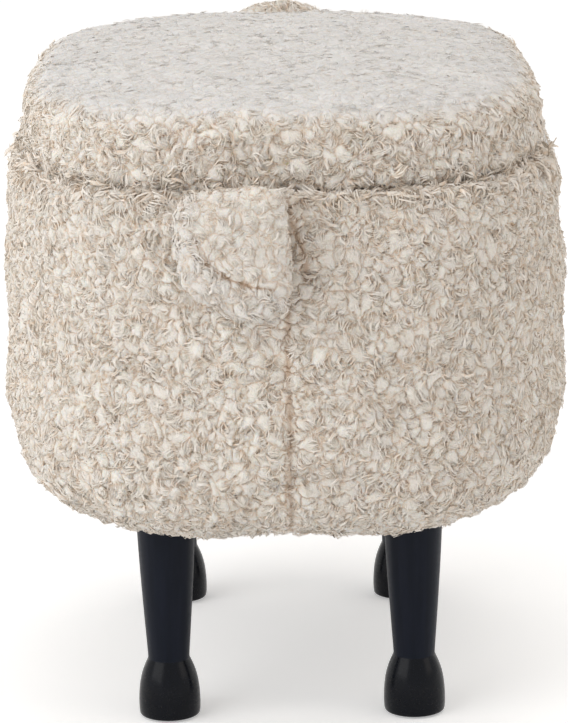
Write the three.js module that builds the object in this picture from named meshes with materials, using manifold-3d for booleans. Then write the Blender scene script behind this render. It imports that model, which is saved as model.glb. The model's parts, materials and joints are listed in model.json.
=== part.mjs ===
// Sheep footstool with a storage box under a hinged, padded seat lid.
// Millimetres, +Z up, +Y towards the sheep's head, +X to its right. The floor is z = 0.
// The tail end (-Y) is the end that the photograph shows. The lid hinges along the right side.
import * as THREE from "three";
import { mergeVertices } from "three/addons/utils/BufferGeometryUtils.js";
import Module from "manifold-3d";

const wasm = await Module();
wasm.setup();

// Padded body, measured over its pile
const bodyWidth = 350;
const bodyLength = 440;
const planExponent = 3; // of the superellipse that every padded outline follows
const planSides = 36;
const bodyPile = 10; // cover cloth with its dense pile
const bottomRadius = 45; // rounding under the body
const bottomSteps = 5;
const sideTaper = 5; // how much narrower the body is just above that rounding
const sideShares = [0.35, 0.7, 1]; // heights on the side
const shoulderInset = 11.5; // from the widest outline in to the parting line
const shoulderRise = 33;
const shoulderShares = [0.45, 0.75, 0.93, 1]; // heights on the shoulder

// Clearances
const fitGap = 0.3; // between two pieces that touch
const cutOverrun = 6; // how far a cutting tool runs past what it cuts

// Timber carcass
const legTop = 137; // underside of the base board above the floor
const baseThickness = 12;
const baseCornerRadius = 24;
const wallInset = 75; // outside of the storage box's walls, in from the body's widest outline
const wallThickness = 9;
const wallHeight = 182;
const wallEdgeRadius = 8;
const rimThickness = 12;
const rimInset = 27; // rim frame and lid board, in from the body's widest outline
const lidBoardThickness = 9;

// Cloth turned over the boards' edges
const stripThickness = 2;
const stripWidth = 10; // of both turned strips on the boards at the parting line
const bottomStripInset = 78; // inner edge of the strip turned under the base
const bottomStripLift = 2; // the pile thins towards that edge
const liningThickness = 1;
const liningMargin = 1.5; // between a lining and the strip beside it

// Seat lid
const lidPile = 6.5;
const lidSideHeight = 21; // from the parting line to where the top rounding starts
const lidEdgeRadius = 24;
const lidEdgeSteps = 5;
const crownRise = 8;
const crownShares = [0.82, 0.58, 0.3]; // rings on the seat, whose last one bounds a flat middle
const creaseWidth = 5.5; // rounding of the lid's lower edge
const creaseHeight = 7;
const foldWidth = 6; // slope of the cloth that folds round the foam's edge at the parting line
const bodyFoldHeight = 6.8;
const lidFoldHeight = 7.9;

// Hinges
const hingeCount = 2;
const hingeSpacing = 96;
const hingeLength = 50;
const pinInset = 15; // hinge line, in from the body's widest outline
const leafWidth = 34; // from the pin to the leaf's free edge
const leafThickness = 1.3;
const knuckleRadius = 2.8;
const knuckleClearance = 0.5;
const knuckleCount = 5;
const knuckleGap = 0.3;
const knuckleSides = 10;
const pinRadius = 1.4;
const pinHeadRadius = 2.3;
const pinHeadThickness = 1;
const reliefBelow = 48; // degrees of free space beyond the pin, under the parting line
const reliefAbove = 50; // and over it, so that the lid can stand open
const screwHeadRadius = 3;
const screwShankRadius = 1.4;
const screwSpacing = 30;
const screwFromPin = 25;
const rimScrewLength = 10;
const lidScrewLength = 7.5;
const screwPointLength = 2;
const screwSides = 10;

// Legs, turned in black-painted wood with hoof-shaped feet
const legInset = 24; // leg's centre, in from the outside of the walls
const legSides = 16;
const hoofRadius = 19.65;
const ankleRadius = 13.5;
const legTopRadius = 18.3;
const hoofEdge = 4.6; // rounding at the floor
const hoofEdgeSteps = 2;
const ankleHeight = 36.3;
const hoofShares = [[0.4, 0.845], [0.6, 0.618], [0.825, 0.195]]; // share of height, share of flare
const shankShares = [[0.077, 0.167], [0.206, 0.437], [0.336, 0.646], [0.6, 0.833], [0.77, 0.969]];
const padRadius = 11;
const padThickness = 3;
const padShow = 1.3; // how far the felt pad stands out of the foot
const padSides = 16;
const boltRadius = 4;
const boltInLeg = 30;
const boltInNut = 11.5;
const boltSides = 10;
const nutBarrelRadius = 5.3;
const nutBarrelLength = 9;
const nutFlangeRadius = 10;
const nutFlangeThickness = 1.5;

// Tail, a small stuffed leaf that flops to the left of the back seam
const tailX = -29;
const tailDrop = 34; // its middle below the top of the rim
const tailHalfWidth = 36;
const tailHalfHeight = 37;
const tailHalfThickness = 15;
const tailSink = 4; // how far its back is pressed flat by the body
const tailCloth = 3.5;
const tailSides = 20;
const tailSteps = 8;
// Shares of the half width and half height, clockwise from the top left corner seen from behind
const tailOutlineShares = [
  [-0.95, 0.81], [-0.09, 0.99], [0.78, 0.96], [0.94, 0.34], [1, -0.16],
  [0.92, -0.62], [0.44, -0.99], [-0.31, -0.76], [-0.87, -0.43], [-1, 0.19],
];

// Head, stuffed, with a wool hood round its dark face
const headDrop = 22; // the start of its axis below the top of the rim
const headTilt = 24; // degrees below level
const headLength = 122; // along its axis, from the body's front
const headBackLength = 40; // behind that point, cut away by the body
const headHalfWidth = 58;
const headHalfHeight = 60;
const headBackInset = 2; // flat back of the head, in from the body's widest outline
const headSides = 16;
const headSteps = 9;
// Share of the way along the axis, and share of the half width and half height there
const headShares = [
  [0, 0.8], [0.25, 0.96], [0.42, 1], [0.58, 0.9],
  [0.74, 0.7], [0.88, 0.58], [0.97, 0.4], [1, 0],
];
const muzzleShare = 0.74; // where a grown or shrunk head starts to lengthen or shorten too
const headCloth = 2.5;
const hoodPile = 12;
const hoodReach = 50; // along the head's axis
const earLength = 78;
const earWidth = 40;
const earThickness = 9;
const earAlong = 34;
const earRise = 22;
const earDroop = 22; // degrees
const earSweep = 14;
const earRootShare = 0.86; // of the head's half width, where the ear's middle line starts
const eyeRadius = 7.5;
const eyeHeight = 5.5;
const eyeSides = 14;
const eyeSteps = 4;
const eyeAhead = 16; // from the hood's front edge, along the head's axis
const eyeSpread = 52; // degrees either side of the top of the face
const eyeStemRadius = 2.2;
const eyeStemLength = 12;
const washerRadius = 7;
const washerThickness = 1.6;
const washerSink = 1.4; // how far a washer presses in, under the cloth's curve

// Finish of each material: colour, roughness, metalness
const finishes = {
  wool: ["#d9cdbc", 0.95, 0],
  faceCloth: ["#26262b", 0.9, 0],
  foam: ["#e8dfa8", 0.95, 0],
  filling: ["#f2f2ee", 1, 0],
  board: ["#b48a5c", 0.8, 0],
  blackCloth: ["#1b1b1d", 0.95, 0],
  blackPaint: ["#17181d", 0.35, 0],
  steel: ["#b9bcc0", 0.35, 1],
  felt: ["#4a4a4a", 1, 0],
  eyePlastic: ["#0c0b0b", 0.12, 0],
};

// Sizes that follow from those above
const halfWidth = bodyWidth / 2;
const halfLength = bodyLength / 2;
const boxHalfWidth = halfWidth - wallInset;
const boxHalfLength = halfLength - wallInset;
const innerHalfWidth = boxHalfWidth - wallThickness;
const innerHalfLength = boxHalfLength - wallThickness;
const baseTop = legTop + baseThickness;
const rimBottom = baseTop + wallHeight;
const rimTop = rimBottom + rimThickness;
const stripInset = rimInset + stripWidth;
const bodyStripTop = rimTop + fitGap + stripThickness;
const lidStripBottom = bodyStripTop + fitGap;
const lidStripTop = lidStripBottom + stripThickness;
const lidBoardBottom = lidStripTop + fitGap;
const lidBoardTop = lidBoardBottom + lidBoardThickness;
const bodyBottom = legTop - fitGap - bodyPile;
const shoulderHeight = bodyStripTop - shoulderRise;
const hingeX = halfWidth - pinInset;
const hingeZ = (rimTop + lidBoardBottom) / 2;
const nutTop = baseTop + fitGap + nutFlangeThickness;
const liningFloor = nutTop + fitGap;
const mergeDistance = fitGap / 1000;
const fullTurn = 2 * Math.PI;
const radians = THREE.MathUtils.degToRad;

const stool = new THREE.Group();
const lid = new THREE.Group();
stool.add(lid);

// Makes a closed solid of a geometry, for cutting and joining.
function solid(geometry) {
  const bare = geometry.index ? geometry.toNonIndexed() : geometry.clone();
  bare.deleteAttribute("normal");
  bare.deleteAttribute("uv");
  const merged = mergeVertices(bare, mergeDistance);
  const triVerts = new Uint32Array(merged.index.array);
  const vertProperties = merged.attributes.position.array;
  return new wasm.Manifold(new wasm.Mesh({ numProp: 3, vertProperties, triVerts }));
}

// Cuts each tool away from a solid.
function cut(shape, ...tools) {
  return tools.reduce((left, tool) => left.subtract(tool), shape);
}

// Adds a named piece, made of a solid, to a group.
function addPiece(group, name, shape, finish) {
  const made = shape.getMesh();
  const geometry = new THREE.BufferGeometry();
  geometry.setAttribute("position", new THREE.BufferAttribute(made.vertProperties, 3));
  geometry.setIndex(new THREE.BufferAttribute(made.triVerts, 1));
  geometry.computeVertexNormals();
  const [color, roughness, metalness] = finishes[finish];
  const material = new THREE.MeshStandardMaterial({ color, roughness, metalness });
  const mesh = new THREE.Mesh(geometry, material);
  mesh.name = name;
  group.add(mesh);
}

// Skins a stack of rings of points. A ring of one point closes an end, and a looped stack has no ends.
function skin(rings, looped = false) {
  const starts = [];
  let count = 0;
  for (const ring of rings) {
    starts.push(count);
    count += ring.length;
  }
  const index = [];
  const bands = looped ? rings.length : rings.length - 1;
  for (let band = 0; band < bands; band++) {
    const next = (band + 1) % rings.length;
    const low = (k) => starts[band] + (k % rings[band].length);
    const high = (k) => starts[next] + (k % rings[next].length);
    const sides = Math.max(rings[band].length, rings[next].length);
    for (let i = 0; i < sides; i++) {
      if (rings[band].length > 1) index.push(low(i), low(i + 1), high(i + 1));
      if (rings[next].length > 1) index.push(low(i), high(i + 1), high(i));
    }
  }
  const geometry = new THREE.BufferGeometry().setFromPoints(rings.flat());
  geometry.setIndex(index);
  return geometry;
}

// A ring of the padded outline, a distance in from the body's widest outline, at a height.
function outlineRing(inset, z) {
  return Array.from({ length: planSides }, (_, i) => {
    const cosine = Math.cos((i / planSides) * fullTurn);
    const sine = Math.sin((i / planSides) * fullTurn);
    const across = Math.abs(cosine / (halfWidth - inset)) ** planExponent;
    const along = Math.abs(sine / (halfLength - inset)) ** planExponent;
    const out = (across + along) ** (-1 / planExponent);
    return new THREE.Vector3(out * cosine, out * sine, z);
  });
}

// The padded outline as a flat shape, for the boards that follow it.
function outlineShape(inset) {
  return new THREE.Shape(outlineRing(inset, 0).map(({ x, y }) => new THREE.Vector2(x, y)));
}

// A solid between padded outlines, each given as [inset, height], from the bottom up.
function padded(stations) {
  const rings = stations.map(([inset, z]) => outlineRing(inset, z));
  const bottom = [new THREE.Vector3(0, 0, stations[0][1])];
  const top = [new THREE.Vector3(0, 0, stations[stations.length - 1][1])];
  return solid(skin([bottom, ...rings, top]));
}

// Sines and cosines of evenly spaced angles, from the first to the last, in degrees.
function arc(from, to, steps) {
  return Array.from({ length: steps + 1 }, (_, i) => {
    const angle = radians(from + ((to - from) * i) / steps);
    return [Math.sin(angle), Math.cos(angle)];
  });
}

function roundedRectangle(acrossHalf, alongHalf, radius) {
  const shape = new THREE.Shape();
  const x = acrossHalf - radius;
  const y = alongHalf - radius;
  shape.absarc(x, y, radius, 0, Math.PI / 2);
  shape.absarc(-x, y, radius, Math.PI / 2, Math.PI);
  shape.absarc(-x, -y, radius, Math.PI, Math.PI * 1.5);
  shape.absarc(x, -y, radius, Math.PI * 1.5, fullTurn);
  return shape;
}

// A flat shape made solid between two heights.
function plate(shape, bottom, top, curveSegments = 6) {
  const made = new THREE.ExtrudeGeometry(shape, { depth: top - bottom, bevelEnabled: false, curveSegments });
  return solid(made.translate(0, 0, bottom));
}

function box(low, high) {
  const size = high.map((v, i) => v - low[i]);
  const middle = high.map((v, i) => (v + low[i]) / 2);
  return solid(new THREE.BoxGeometry(...size).translate(...middle));
}

// A solid turned about an upright axis through [x, y]. Its outline is [radius, height] pairs going up.
function turned(outline, x, y, sides) {
  const points = outline.map(([radius, z]) => new THREE.Vector2(radius, z));
  const lathe = new THREE.LatheGeometry(points, sides).rotateX(Math.PI / 2);
  return solid(lathe.translate(x, y, 0));
}

// An upright cylinder between two heights.
function post(radius, bottom, top, x, y, sides) {
  return turned([[0, bottom], [radius, bottom], [radius, top], [0, top]], x, y, sides);
}

// A rod on the hinge line, between two places along it.
function hingeRod(radius, from, to) {
  const rod = new THREE.CylinderGeometry(radius, radius, to - from, knuckleSides);
  return solid(rod.translate(hingeX, (from + to) / 2, hingeZ));
}

// Adds round holes to a flat shape.
function drill(shape, radius, places) {
  for (const [x, y] of places) {
    const hole = new THREE.Path();
    hole.absarc(x, y, radius, 0, fullTurn);
    shape.holes.push(hole);
  }
}

// The body's side from its bottom rounding up to the shoulder, a depth under the pile.
function bodySide(depth) {
  const arcHeight = bodyBottom + bottomRadius;
  const arcInset = sideTaper + bottomRadius;
  const radius = bottomRadius - depth;
  const rounding = arc(90, 0, bottomSteps).map(([sine, cosine]) => [
    arcInset - radius * cosine,
    arcHeight - radius * sine,
  ]);
  const side = sideShares.map((share) => [
    sideTaper * (1 - share) ** 2 + depth,
    arcHeight + (shoulderHeight - arcHeight) * share,
  ]);
  return [...rounding, ...side];
}

// The body's shoulder, which curves in to the parting line.
function bodyShoulder() {
  return shoulderShares.map((share) => [
    shoulderInset * (1 - Math.sqrt(1 - share * share)),
    shoulderHeight + shoulderRise * share,
  ]);
}

// The whole body as one form, grown by a gap, to cut what leans on it.
function bodyForm() {
  return padded([...bodySide(-fitGap), ...bodyShoulder().map(([inset, z]) => [inset - fitGap, z])]);
}

// The inside of the body cover, from the base to the fold at the rim.
function bodyInside(gap) {
  const foldInset = rimInset - foldWidth / 2 + gap;
  const foldTop = rimTop + fitGap - gap;
  return [
    ...bodySide(bodyPile + gap).slice(0, -1),
    [bodyPile + gap, shoulderHeight - bodyPile],
    [foldInset - foldWidth, foldTop - bodyFoldHeight],
    [foldInset, foldTop],
  ];
}

// The seat lid's form at a depth under its pile, above the stations of its lower edge.
function lidForm(depth, lowerEdge) {
  const sideInset = shoulderInset + depth;
  const roundHeight = lidStripBottom + lidSideHeight;
  const radius = lidEdgeRadius - depth;
  const rounding = arc(0, 90, lidEdgeSteps).map(([sine, cosine]) => [
    sideInset + radius * (1 - cosine),
    roundHeight + radius * sine,
  ]);
  const flatShare = crownShares[crownShares.length - 1];
  const crown = crownShares.map((share) => [
    halfWidth - (halfWidth - sideInset - radius) * share,
    roundHeight + radius + (crownRise * (1 - share * share)) / (1 - flatShare * flatShare),
  ]);
  return padded([...lowerEdge, ...rounding, ...crown]);
}

function lidOutside() {
  return lidForm(0, [
    [shoulderInset + creaseWidth, lidStripBottom],
    [shoulderInset + creaseWidth / 4, lidStripBottom + creaseHeight / 2],
    [shoulderInset, lidStripBottom + creaseHeight],
  ]);
}

function lidInside(gap) {
  const depth = lidPile + gap;
  return lidForm(depth, [
    [shoulderInset + depth + foldWidth, lidStripTop],
    [shoulderInset + depth, lidStripTop + lidFoldHeight],
  ]);
}

// The free space that the lid needs beyond the hinge line, from below the parting line to above it.
function hingeRelief() {
  const below = radians(reliefBelow);
  const above = radians(reliefAbove);
  const shape = new THREE.Shape();
  shape.moveTo(0, 0);
  shape.lineTo(bodyWidth * Math.cos(below), -bodyWidth * Math.sin(below));
  shape.lineTo(bodyWidth * Math.cos(above), bodyWidth * Math.sin(above));
  const wedge = new THREE.ExtrudeGeometry(shape, { depth: bodyLength, bevelEnabled: false });
  wedge.rotateX(Math.PI / 2).translate(hingeX, halfLength, hingeZ);
  return solid(wedge);
}

// Middles of the hinges along y.
function hingePlaces() {
  return Array.from({ length: hingeCount }, (_, i) => (i - (hingeCount - 1) / 2) * hingeSpacing);
}

// Room round each closed hinge for its leaves and knuckles.
function hingeRooms() {
  const half = hingeLength / 2 + pinHeadThickness + fitGap + knuckleClearance;
  const freeEdge = hingeX - leafWidth - knuckleClearance;
  return hingePlaces().flatMap((y) => [
    box([freeEdge, y - half, rimTop], [hingeX, y + half, lidBoardBottom]),
    hingeRod(knuckleRadius + knuckleClearance, y - half, y + half),
  ]);
}

// Places of the screws in one leaf of the hinge at y.
function screwPlaces(y) {
  return [-screwSpacing / 2, screwSpacing / 2].map((offset) => [hingeX - screwFromPin, y + offset]);
}

// Places of the four legs.
function legPlaces() {
  const x = boxHalfWidth - legInset;
  const y = boxHalfLength - legInset;
  return [[-x, -y], [x, -y], [-x, y], [x, y]];
}

// Room for each leg through the cloth under the base.
function legRooms() {
  const radius = legTopRadius + fitGap;
  return legPlaces().map(([x, y]) => post(radius, bodyBottom - cutOverrun, legTop, x, y, legSides));
}

// Boards of the storage box, with the rim frame that carries the lid and the hinges.
function makeCarcass() {
  const base = roundedRectangle(boxHalfWidth, boxHalfLength, baseCornerRadius);
  drill(base, nutBarrelRadius + fitGap, legPlaces());
  addPiece(stool, "base_board", plate(base, legTop, baseTop), "board");

  const bottom = baseTop + fitGap;
  const top = rimBottom - fitGap;
  const arcX = boxHalfWidth - wallEdgeRadius;
  const arcY = boxHalfLength - wallEdgeRadius;
  const section = new THREE.Shape();
  section.moveTo(innerHalfWidth, -boxHalfLength);
  section.absarc(arcX, -arcY, wallEdgeRadius, -Math.PI / 2, 0);
  section.absarc(arcX, arcY, wallEdgeRadius, 0, Math.PI / 2);
  section.lineTo(innerHalfWidth, boxHalfLength);
  const sideWall = plate(section, bottom, top, 3);
  addPiece(stool, "right_wall", sideWall, "board");
  addPiece(stool, "left_wall", sideWall.mirror([1, 0, 0]), "board");

  const across = innerHalfWidth - fitGap;
  const endWall = box([-across, innerHalfLength, bottom], [across, boxHalfLength, top]);
  addPiece(stool, "head_wall", endWall, "board");
  addPiece(stool, "tail_wall", endWall.mirror([0, 1, 0]), "board");

  const rim = outlineShape(rimInset);
  const corners = [[-1, -1], [-1, 1], [1, 1], [1, -1]];
  rim.holes.push(new THREE.Path(corners.map(([x, y]) => new THREE.Vector2(
    x * innerHalfWidth,
    y * innerHalfLength,
  ))));
  drill(rim, screwShankRadius + fitGap, hingePlaces().flatMap(screwPlaces));
  addPiece(stool, "rim_frame", plate(rim, rimBottom, rimTop), "board");
}

// Black lining of the storage box, turned over the rim, and the cloth under the base.
function makeLinings() {
  const across = innerHalfWidth - 2 * fitGap;
  const along = innerHalfLength - 2 * fitGap;
  const flangeBottom = rimTop + fitGap;
  const flangeTop = flangeBottom + liningThickness;
  const flangeInset = stripInset + liningMargin;
  const bag = box([-across, -along, liningFloor], [across, along, flangeTop]);
  const flange = padded([[flangeInset, flangeBottom], [flangeInset, flangeTop]]);
  const hollow = box(
    [liningThickness - across, liningThickness - along, liningFloor + liningThickness],
    [across - liningThickness, along - liningThickness, flangeTop + cutOverrun],
  );
  addPiece(stool, "storage_lining", cut(bag.add(flange), hollow, ...hingeRooms()), "blackCloth");

  const dustInset = bottomStripInset + liningMargin;
  const dustTop = legTop - fitGap;
  const dust = padded([[dustInset, dustTop - liningThickness], [dustInset, dustTop]]);
  addPiece(stool, "dust_cover", cut(dust, ...legRooms()), "blackCloth");
}

// Foam round the storage box and the wool cover over it.
function makeBodyPadding() {
  const boxRoom = box(
    [-boxHalfWidth - fitGap, -boxHalfLength - fitGap, bodyBottom],
    [boxHalfWidth + fitGap, boxHalfLength + fitGap, rimTop + cutOverrun],
  );
  const rimRoom = plate(outlineShape(rimInset - fitGap), rimBottom - fitGap, rimTop + cutOverrun);
  const foam = cut(padded(bodyInside(fitGap)), boxRoom, rimRoom, hingeRelief(), ...hingeRooms());
  addPiece(stool, "body_foam", foam, "foam");

  const stations = [
    [bottomStripInset, bodyBottom + bottomStripLift],
    ...bodySide(0),
    ...bodyShoulder(),
    [stripInset, bodyStripTop],
    [stripInset, rimTop + fitGap],
    ...bodyInside(0).reverse(),
    [bottomStripInset, legTop - fitGap],
  ];
  const cover = solid(skin(stations.map(([inset, z]) => outlineRing(inset, z)), true));
  addPiece(stool, "body_cover", cut(cover, hingeRelief(), ...hingeRooms(), ...legRooms()), "wool");
}

// The hinged seat lid: board, foam, wool cover and the lining under it.
function makeLid() {
  const board = outlineShape(rimInset);
  drill(board, screwShankRadius + fitGap, hingePlaces().flatMap(screwPlaces));
  addPiece(lid, "lid_board", plate(board, lidBoardBottom, lidBoardTop), "board");

  const boardRoom = box(
    [-halfWidth, -halfLength, lidStripBottom],
    [halfWidth, halfLength, lidBoardTop + fitGap],
  );
  addPiece(lid, "lid_foam", cut(lidInside(fitGap), boardRoom, hingeRelief()), "foam");

  const mouth = padded([[stripInset, lidStripBottom - cutOverrun], [stripInset, lidStripTop + cutOverrun]]);
  const cover = cut(lidOutside(), lidInside(0), mouth, hingeRelief(), ...hingeRooms());
  addPiece(lid, "lid_cover", cover, "wool");

  const liningInset = stripInset + liningMargin;
  const lining = padded([[liningInset, lidStripTop - liningThickness], [liningInset, lidStripTop]]);
  addPiece(lid, "lid_lining", cut(lining, ...hingeRooms()), "blackCloth");
}

// One leaf of the hinge at y. It holds every second knuckle, from the first or from the second.
function hingeLeaf(y, first, bottom) {
  const start = y - hingeLength / 2;
  const end = y + hingeLength / 2;
  const step = hingeLength / knuckleCount;
  const plateEdge = hingeX - knuckleRadius - knuckleClearance;
  const top = bottom + leafThickness;
  let leaf = box([hingeX - leafWidth, start, bottom], [plateEdge, end, top]);
  for (let i = first; i < knuckleCount; i += 2) {
    const from = start + i * step + knuckleGap / 2;
    const to = start + (i + 1) * step - knuckleGap / 2;
    const tab = box([plateEdge - leafThickness, from, bottom], [hingeX - pinRadius, to, top]);
    leaf = leaf.add(tab).add(hingeRod(knuckleRadius, from, to));
  }
  return leaf.subtract(hingeRod(pinRadius + fitGap, start - cutOverrun, end + cutOverrun));
}

// A countersunk screw with its head at a height, point down. With a gap it is the hole for one.
function screw([x, y], top, length, gap) {
  return turned([
    [0, top - length],
    [screwShankRadius + gap, top - length + screwPointLength],
    [screwShankRadius + gap, top - leafThickness],
    [screwHeadRadius + gap, top],
    [0, top],
  ], x, y, screwSides);
}

// The same screw with its point up, for the lid's leaf.
function screwUp(place, bottom, length, gap) {
  return screw(place, 0, length, gap).mirror([0, 0, 1]).translate([0, 0, bottom]);
}

// Butt hinges between the rim frame and the lid board, with their pins and screws.
function makeHinges() {
  const rimLeafBottom = rimTop + fitGap;
  const rimLeafTop = rimLeafBottom + leafThickness;
  const lidLeafBottom = lidBoardBottom - fitGap - leafThickness;
  hingePlaces().forEach((y, i) => {
    const places = screwPlaces(y);
    const rimHoles = places.map((place) => screw(place, rimLeafTop, rimScrewLength, fitGap));
    const lidHoles = places.map((place) => screwUp(place, lidLeafBottom, lidScrewLength, fitGap));
    addPiece(stool, `hinge_${i + 1}_rim_leaf`, cut(hingeLeaf(y, 0, rimLeafBottom), ...rimHoles), "steel");
    addPiece(lid, `hinge_${i + 1}_lid_leaf`, cut(hingeLeaf(y, 1, lidLeafBottom), ...lidHoles), "steel");
    const headStart = y + hingeLength / 2 + fitGap;
    const rod = hingeRod(pinRadius, y - hingeLength / 2, headStart);
    const head = hingeRod(pinHeadRadius, headStart, headStart + pinHeadThickness);
    addPiece(stool, `hinge_${i + 1}_pin`, rod.add(head), "steel");
    places.forEach((place, k) => {
      const name = `hinge_${i + 1}_screw_${k + 1}`;
      addPiece(stool, `${name}_rim`, screw(place, rimLeafTop, rimScrewLength, 0), "steel");
      addPiece(lid, `${name}_lid`, screwUp(place, lidLeafBottom, lidScrewLength, 0), "steel");
    });
  });
}

// Places a table of shares between two heights and two radii.
function profile(shares, lowZ, highZ, lowRadius, highRadius) {
  return shares.map(([up, out]) => [lowRadius + (highRadius - lowRadius) * out, lowZ + (highZ - lowZ) * up]);
}

// The turned outline of a leg, from its pad's recess up to the board, with the bolt's bore.
function legOutline() {
  const top = legTop - fitGap;
  const boreBottom = legTop - boltInLeg - fitGap;
  const hoofTop = padShow + hoofEdge;
  const rounding = arc(0, 90, hoofEdgeSteps).map(([sine, cosine]) => [
    hoofRadius - hoofEdge * (1 - sine),
    hoofTop - hoofEdge * cosine,
  ]);
  return [
    [0, padThickness + fitGap],
    [padRadius + fitGap, padThickness + fitGap],
    [padRadius + fitGap, padShow],
    ...rounding,
    ...profile(hoofShares, hoofTop, ankleHeight, ankleRadius, hoofRadius),
    [ankleRadius, ankleHeight],
    ...profile(shankShares, ankleHeight, top, ankleRadius, legTopRadius),
    [legTopRadius, top],
    [boltRadius + fitGap, top],
    [boltRadius + fitGap, boreBottom],
    [0, boreBottom],
  ];
}

// A tee nut pressed into the base board from above.
function teeNut(x, y) {
  const bore = boltRadius + fitGap;
  const barrelBottom = baseTop - nutBarrelLength;
  const seat = baseTop + fitGap;
  return turned([
    [bore, barrelBottom],
    [nutBarrelRadius, barrelBottom],
    [nutBarrelRadius, seat],
    [nutFlangeRadius, seat],
    [nutFlangeRadius, nutTop],
    [bore, nutTop],
    [bore, barrelBottom],
  ], x, y, boltSides);
}

// Turned legs, each with its hanger bolt, tee nut and felt pad.
function makeLegs() {
  const names = ["tail_left", "tail_right", "head_left", "head_right"];
  legPlaces().forEach(([x, y], i) => {
    addPiece(stool, `leg_${names[i]}`, turned(legOutline(), x, y, legSides), "blackPaint");
    addPiece(stool, `foot_pad_${names[i]}`, post(padRadius, 0, padThickness, x, y, padSides), "felt");
    const bolt = post(boltRadius, legTop - boltInLeg, legTop + boltInNut, x, y, boltSides);
    addPiece(stool, `leg_bolt_${names[i]}`, bolt, "steel");
    addPiece(stool, `tee_nut_${names[i]}`, teeNut(x, y), "steel");
  });
}

// The tail's puffy leaf, shrunk by a depth.
function tailForm(depth) {
  const points = tailOutlineShares.map(([across, up]) => new THREE.Vector3(
    across * (tailHalfWidth - depth),
    0,
    up * (tailHalfHeight - depth),
  ));
  const outline = new THREE.CatmullRomCurve3(points, true);
  const thickness = tailHalfThickness - depth;
  const rings = arc(-90, 90, tailSteps).slice(1, -1).map(([sine, cosine]) =>
    Array.from({ length: tailSides }, (_, i) => {
      const { x, z } = outline.getPoint(i / tailSides);
      const spread = Math.sqrt(cosine);
      return new THREE.Vector3(x * spread, sine * thickness, z * spread);
    }));
  const back = [new THREE.Vector3(0, -thickness, 0)];
  const front = [new THREE.Vector3(0, thickness, 0)];
  const middle = tailSink - halfLength - tailHalfThickness;
  return solid(skin([back, ...rings, front]).translate(tailX, middle, rimTop - tailDrop));
}

function makeTail() {
  const body = bodyForm();
  addPiece(stool, "tail_cover", cut(tailForm(0), tailForm(tailCloth), body), "wool");
  addPiece(stool, "tail_filling", cut(tailForm(tailCloth + fitGap), body), "filling");
}

// The head's taper: distance along its axis against its share of the largest half width and height.
const headTaper = new THREE.SplineCurve(headShares.map(([along, size]) => new THREE.Vector2(along, size)));

// A point on the head's skin, a share of the way to the muzzle, at an angle from its top, grown by a depth
// that depends on the distance along the head's axis.
function headPoint(way, angle, growth) {
  const at = headTaper.getPoint(way);
  const along = (headLength + headBackLength) * at.x - headBackLength;
  const swell = at.y > 0 ? growth(along) : 0;
  const lengthen = growth(along) * THREE.MathUtils.smoothstep(at.x, muzzleShare, 1);
  return new THREE.Vector3(
    (headHalfWidth * at.y + swell) * Math.sin(angle),
    along + lengthen,
    (headHalfHeight * at.y + swell) * Math.cos(angle),
  );
}

// The head's form in its own frame, whose axis is y, grown by a depth.
function headForm(growth) {
  const back = [new THREE.Vector3(0, -headBackLength, 0)];
  const ring = (way) => Array.from(
    { length: headSides },
    (_, k) => headPoint(way, (k / headSides) * fullTurn, growth),
  );
  const rings = Array.from({ length: headSteps }, (_, i) => ring(i / headSteps));
  return solid(skin([back, ...rings, [headPoint(1, 0, growth)]]));
}

// The depth of the hood's wool at a distance along the head's axis, rounded off to nothing at its front.
function hoodDepth(along) {
  const share = THREE.MathUtils.clamp(along / hoodReach, 0, 1);
  return hoodPile * Math.sqrt(1 - share * share);
}

// Moves a solid from the head's own frame onto the body's front.
function placeHead(shape) {
  return shape.rotate([-headTilt, 0, 0]).translate([0, halfLength, rimTop - headDrop]);
}

// The body and the space behind the head's flat back, which cut whatever belongs to the head.
function behindHead() {
  const back = halfLength - headBackInset;
  return bodyForm().add(box([-bodyWidth, -bodyLength, 0], [bodyWidth, back, bodyLength * 2]));
}

// Where an eye sits on the face, and the way it looks, square to the cloth.
function eyeSeat(side) {
  const steps = 200;
  const share = (headBackLength + hoodReach + eyeAhead) / (headBackLength + headLength);
  const ways = Array.from({ length: steps }, (_, i) => i / steps);
  const way = ways.find((t) => headTaper.getPoint(t).x >= share);
  const angle = side * radians(eyeSpread);
  const bare = () => 0;
  const point = headPoint(way, angle, bare);
  const ahead = headPoint(way + 1 / steps, angle, bare).sub(point);
  const aside = headPoint(way, angle + fullTurn / steps, bare).sub(point);
  return { point, look: aside.cross(ahead).normalize() };
}

// Moves a geometry made along y from the origin onto an eye's seat.
function onEyeSeat(geometry, seat) {
  const turn = new THREE.Quaternion().setFromUnitVectors(new THREE.Vector3(0, 1, 0), seat.look);
  return solid(geometry.applyQuaternion(turn).translate(...seat.point.toArray()));
}

// A short rod along an eye's stem, between two distances out from the face.
function eyeRod(seat, radius, from, to) {
  const rod = new THREE.CylinderGeometry(radius, radius, to - from, boltSides);
  return onEyeSeat(rod.translate(0, (from + to) / 2, 0), seat);
}

// A glossy eye: a dome on the cloth with a stem through it.
function eye(seat) {
  const curve = arc(90, 0, eyeSteps).map(([sine, cosine]) => new THREE.Vector2(
    eyeRadius * sine,
    fitGap + eyeHeight * cosine,
  ));
  const dome = new THREE.LatheGeometry([new THREE.Vector2(0, fitGap), ...curve], eyeSides);
  return onEyeSeat(dome, seat).add(eyeRod(seat, eyeStemRadius, -eyeStemLength, eyeHeight / 2));
}

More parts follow.
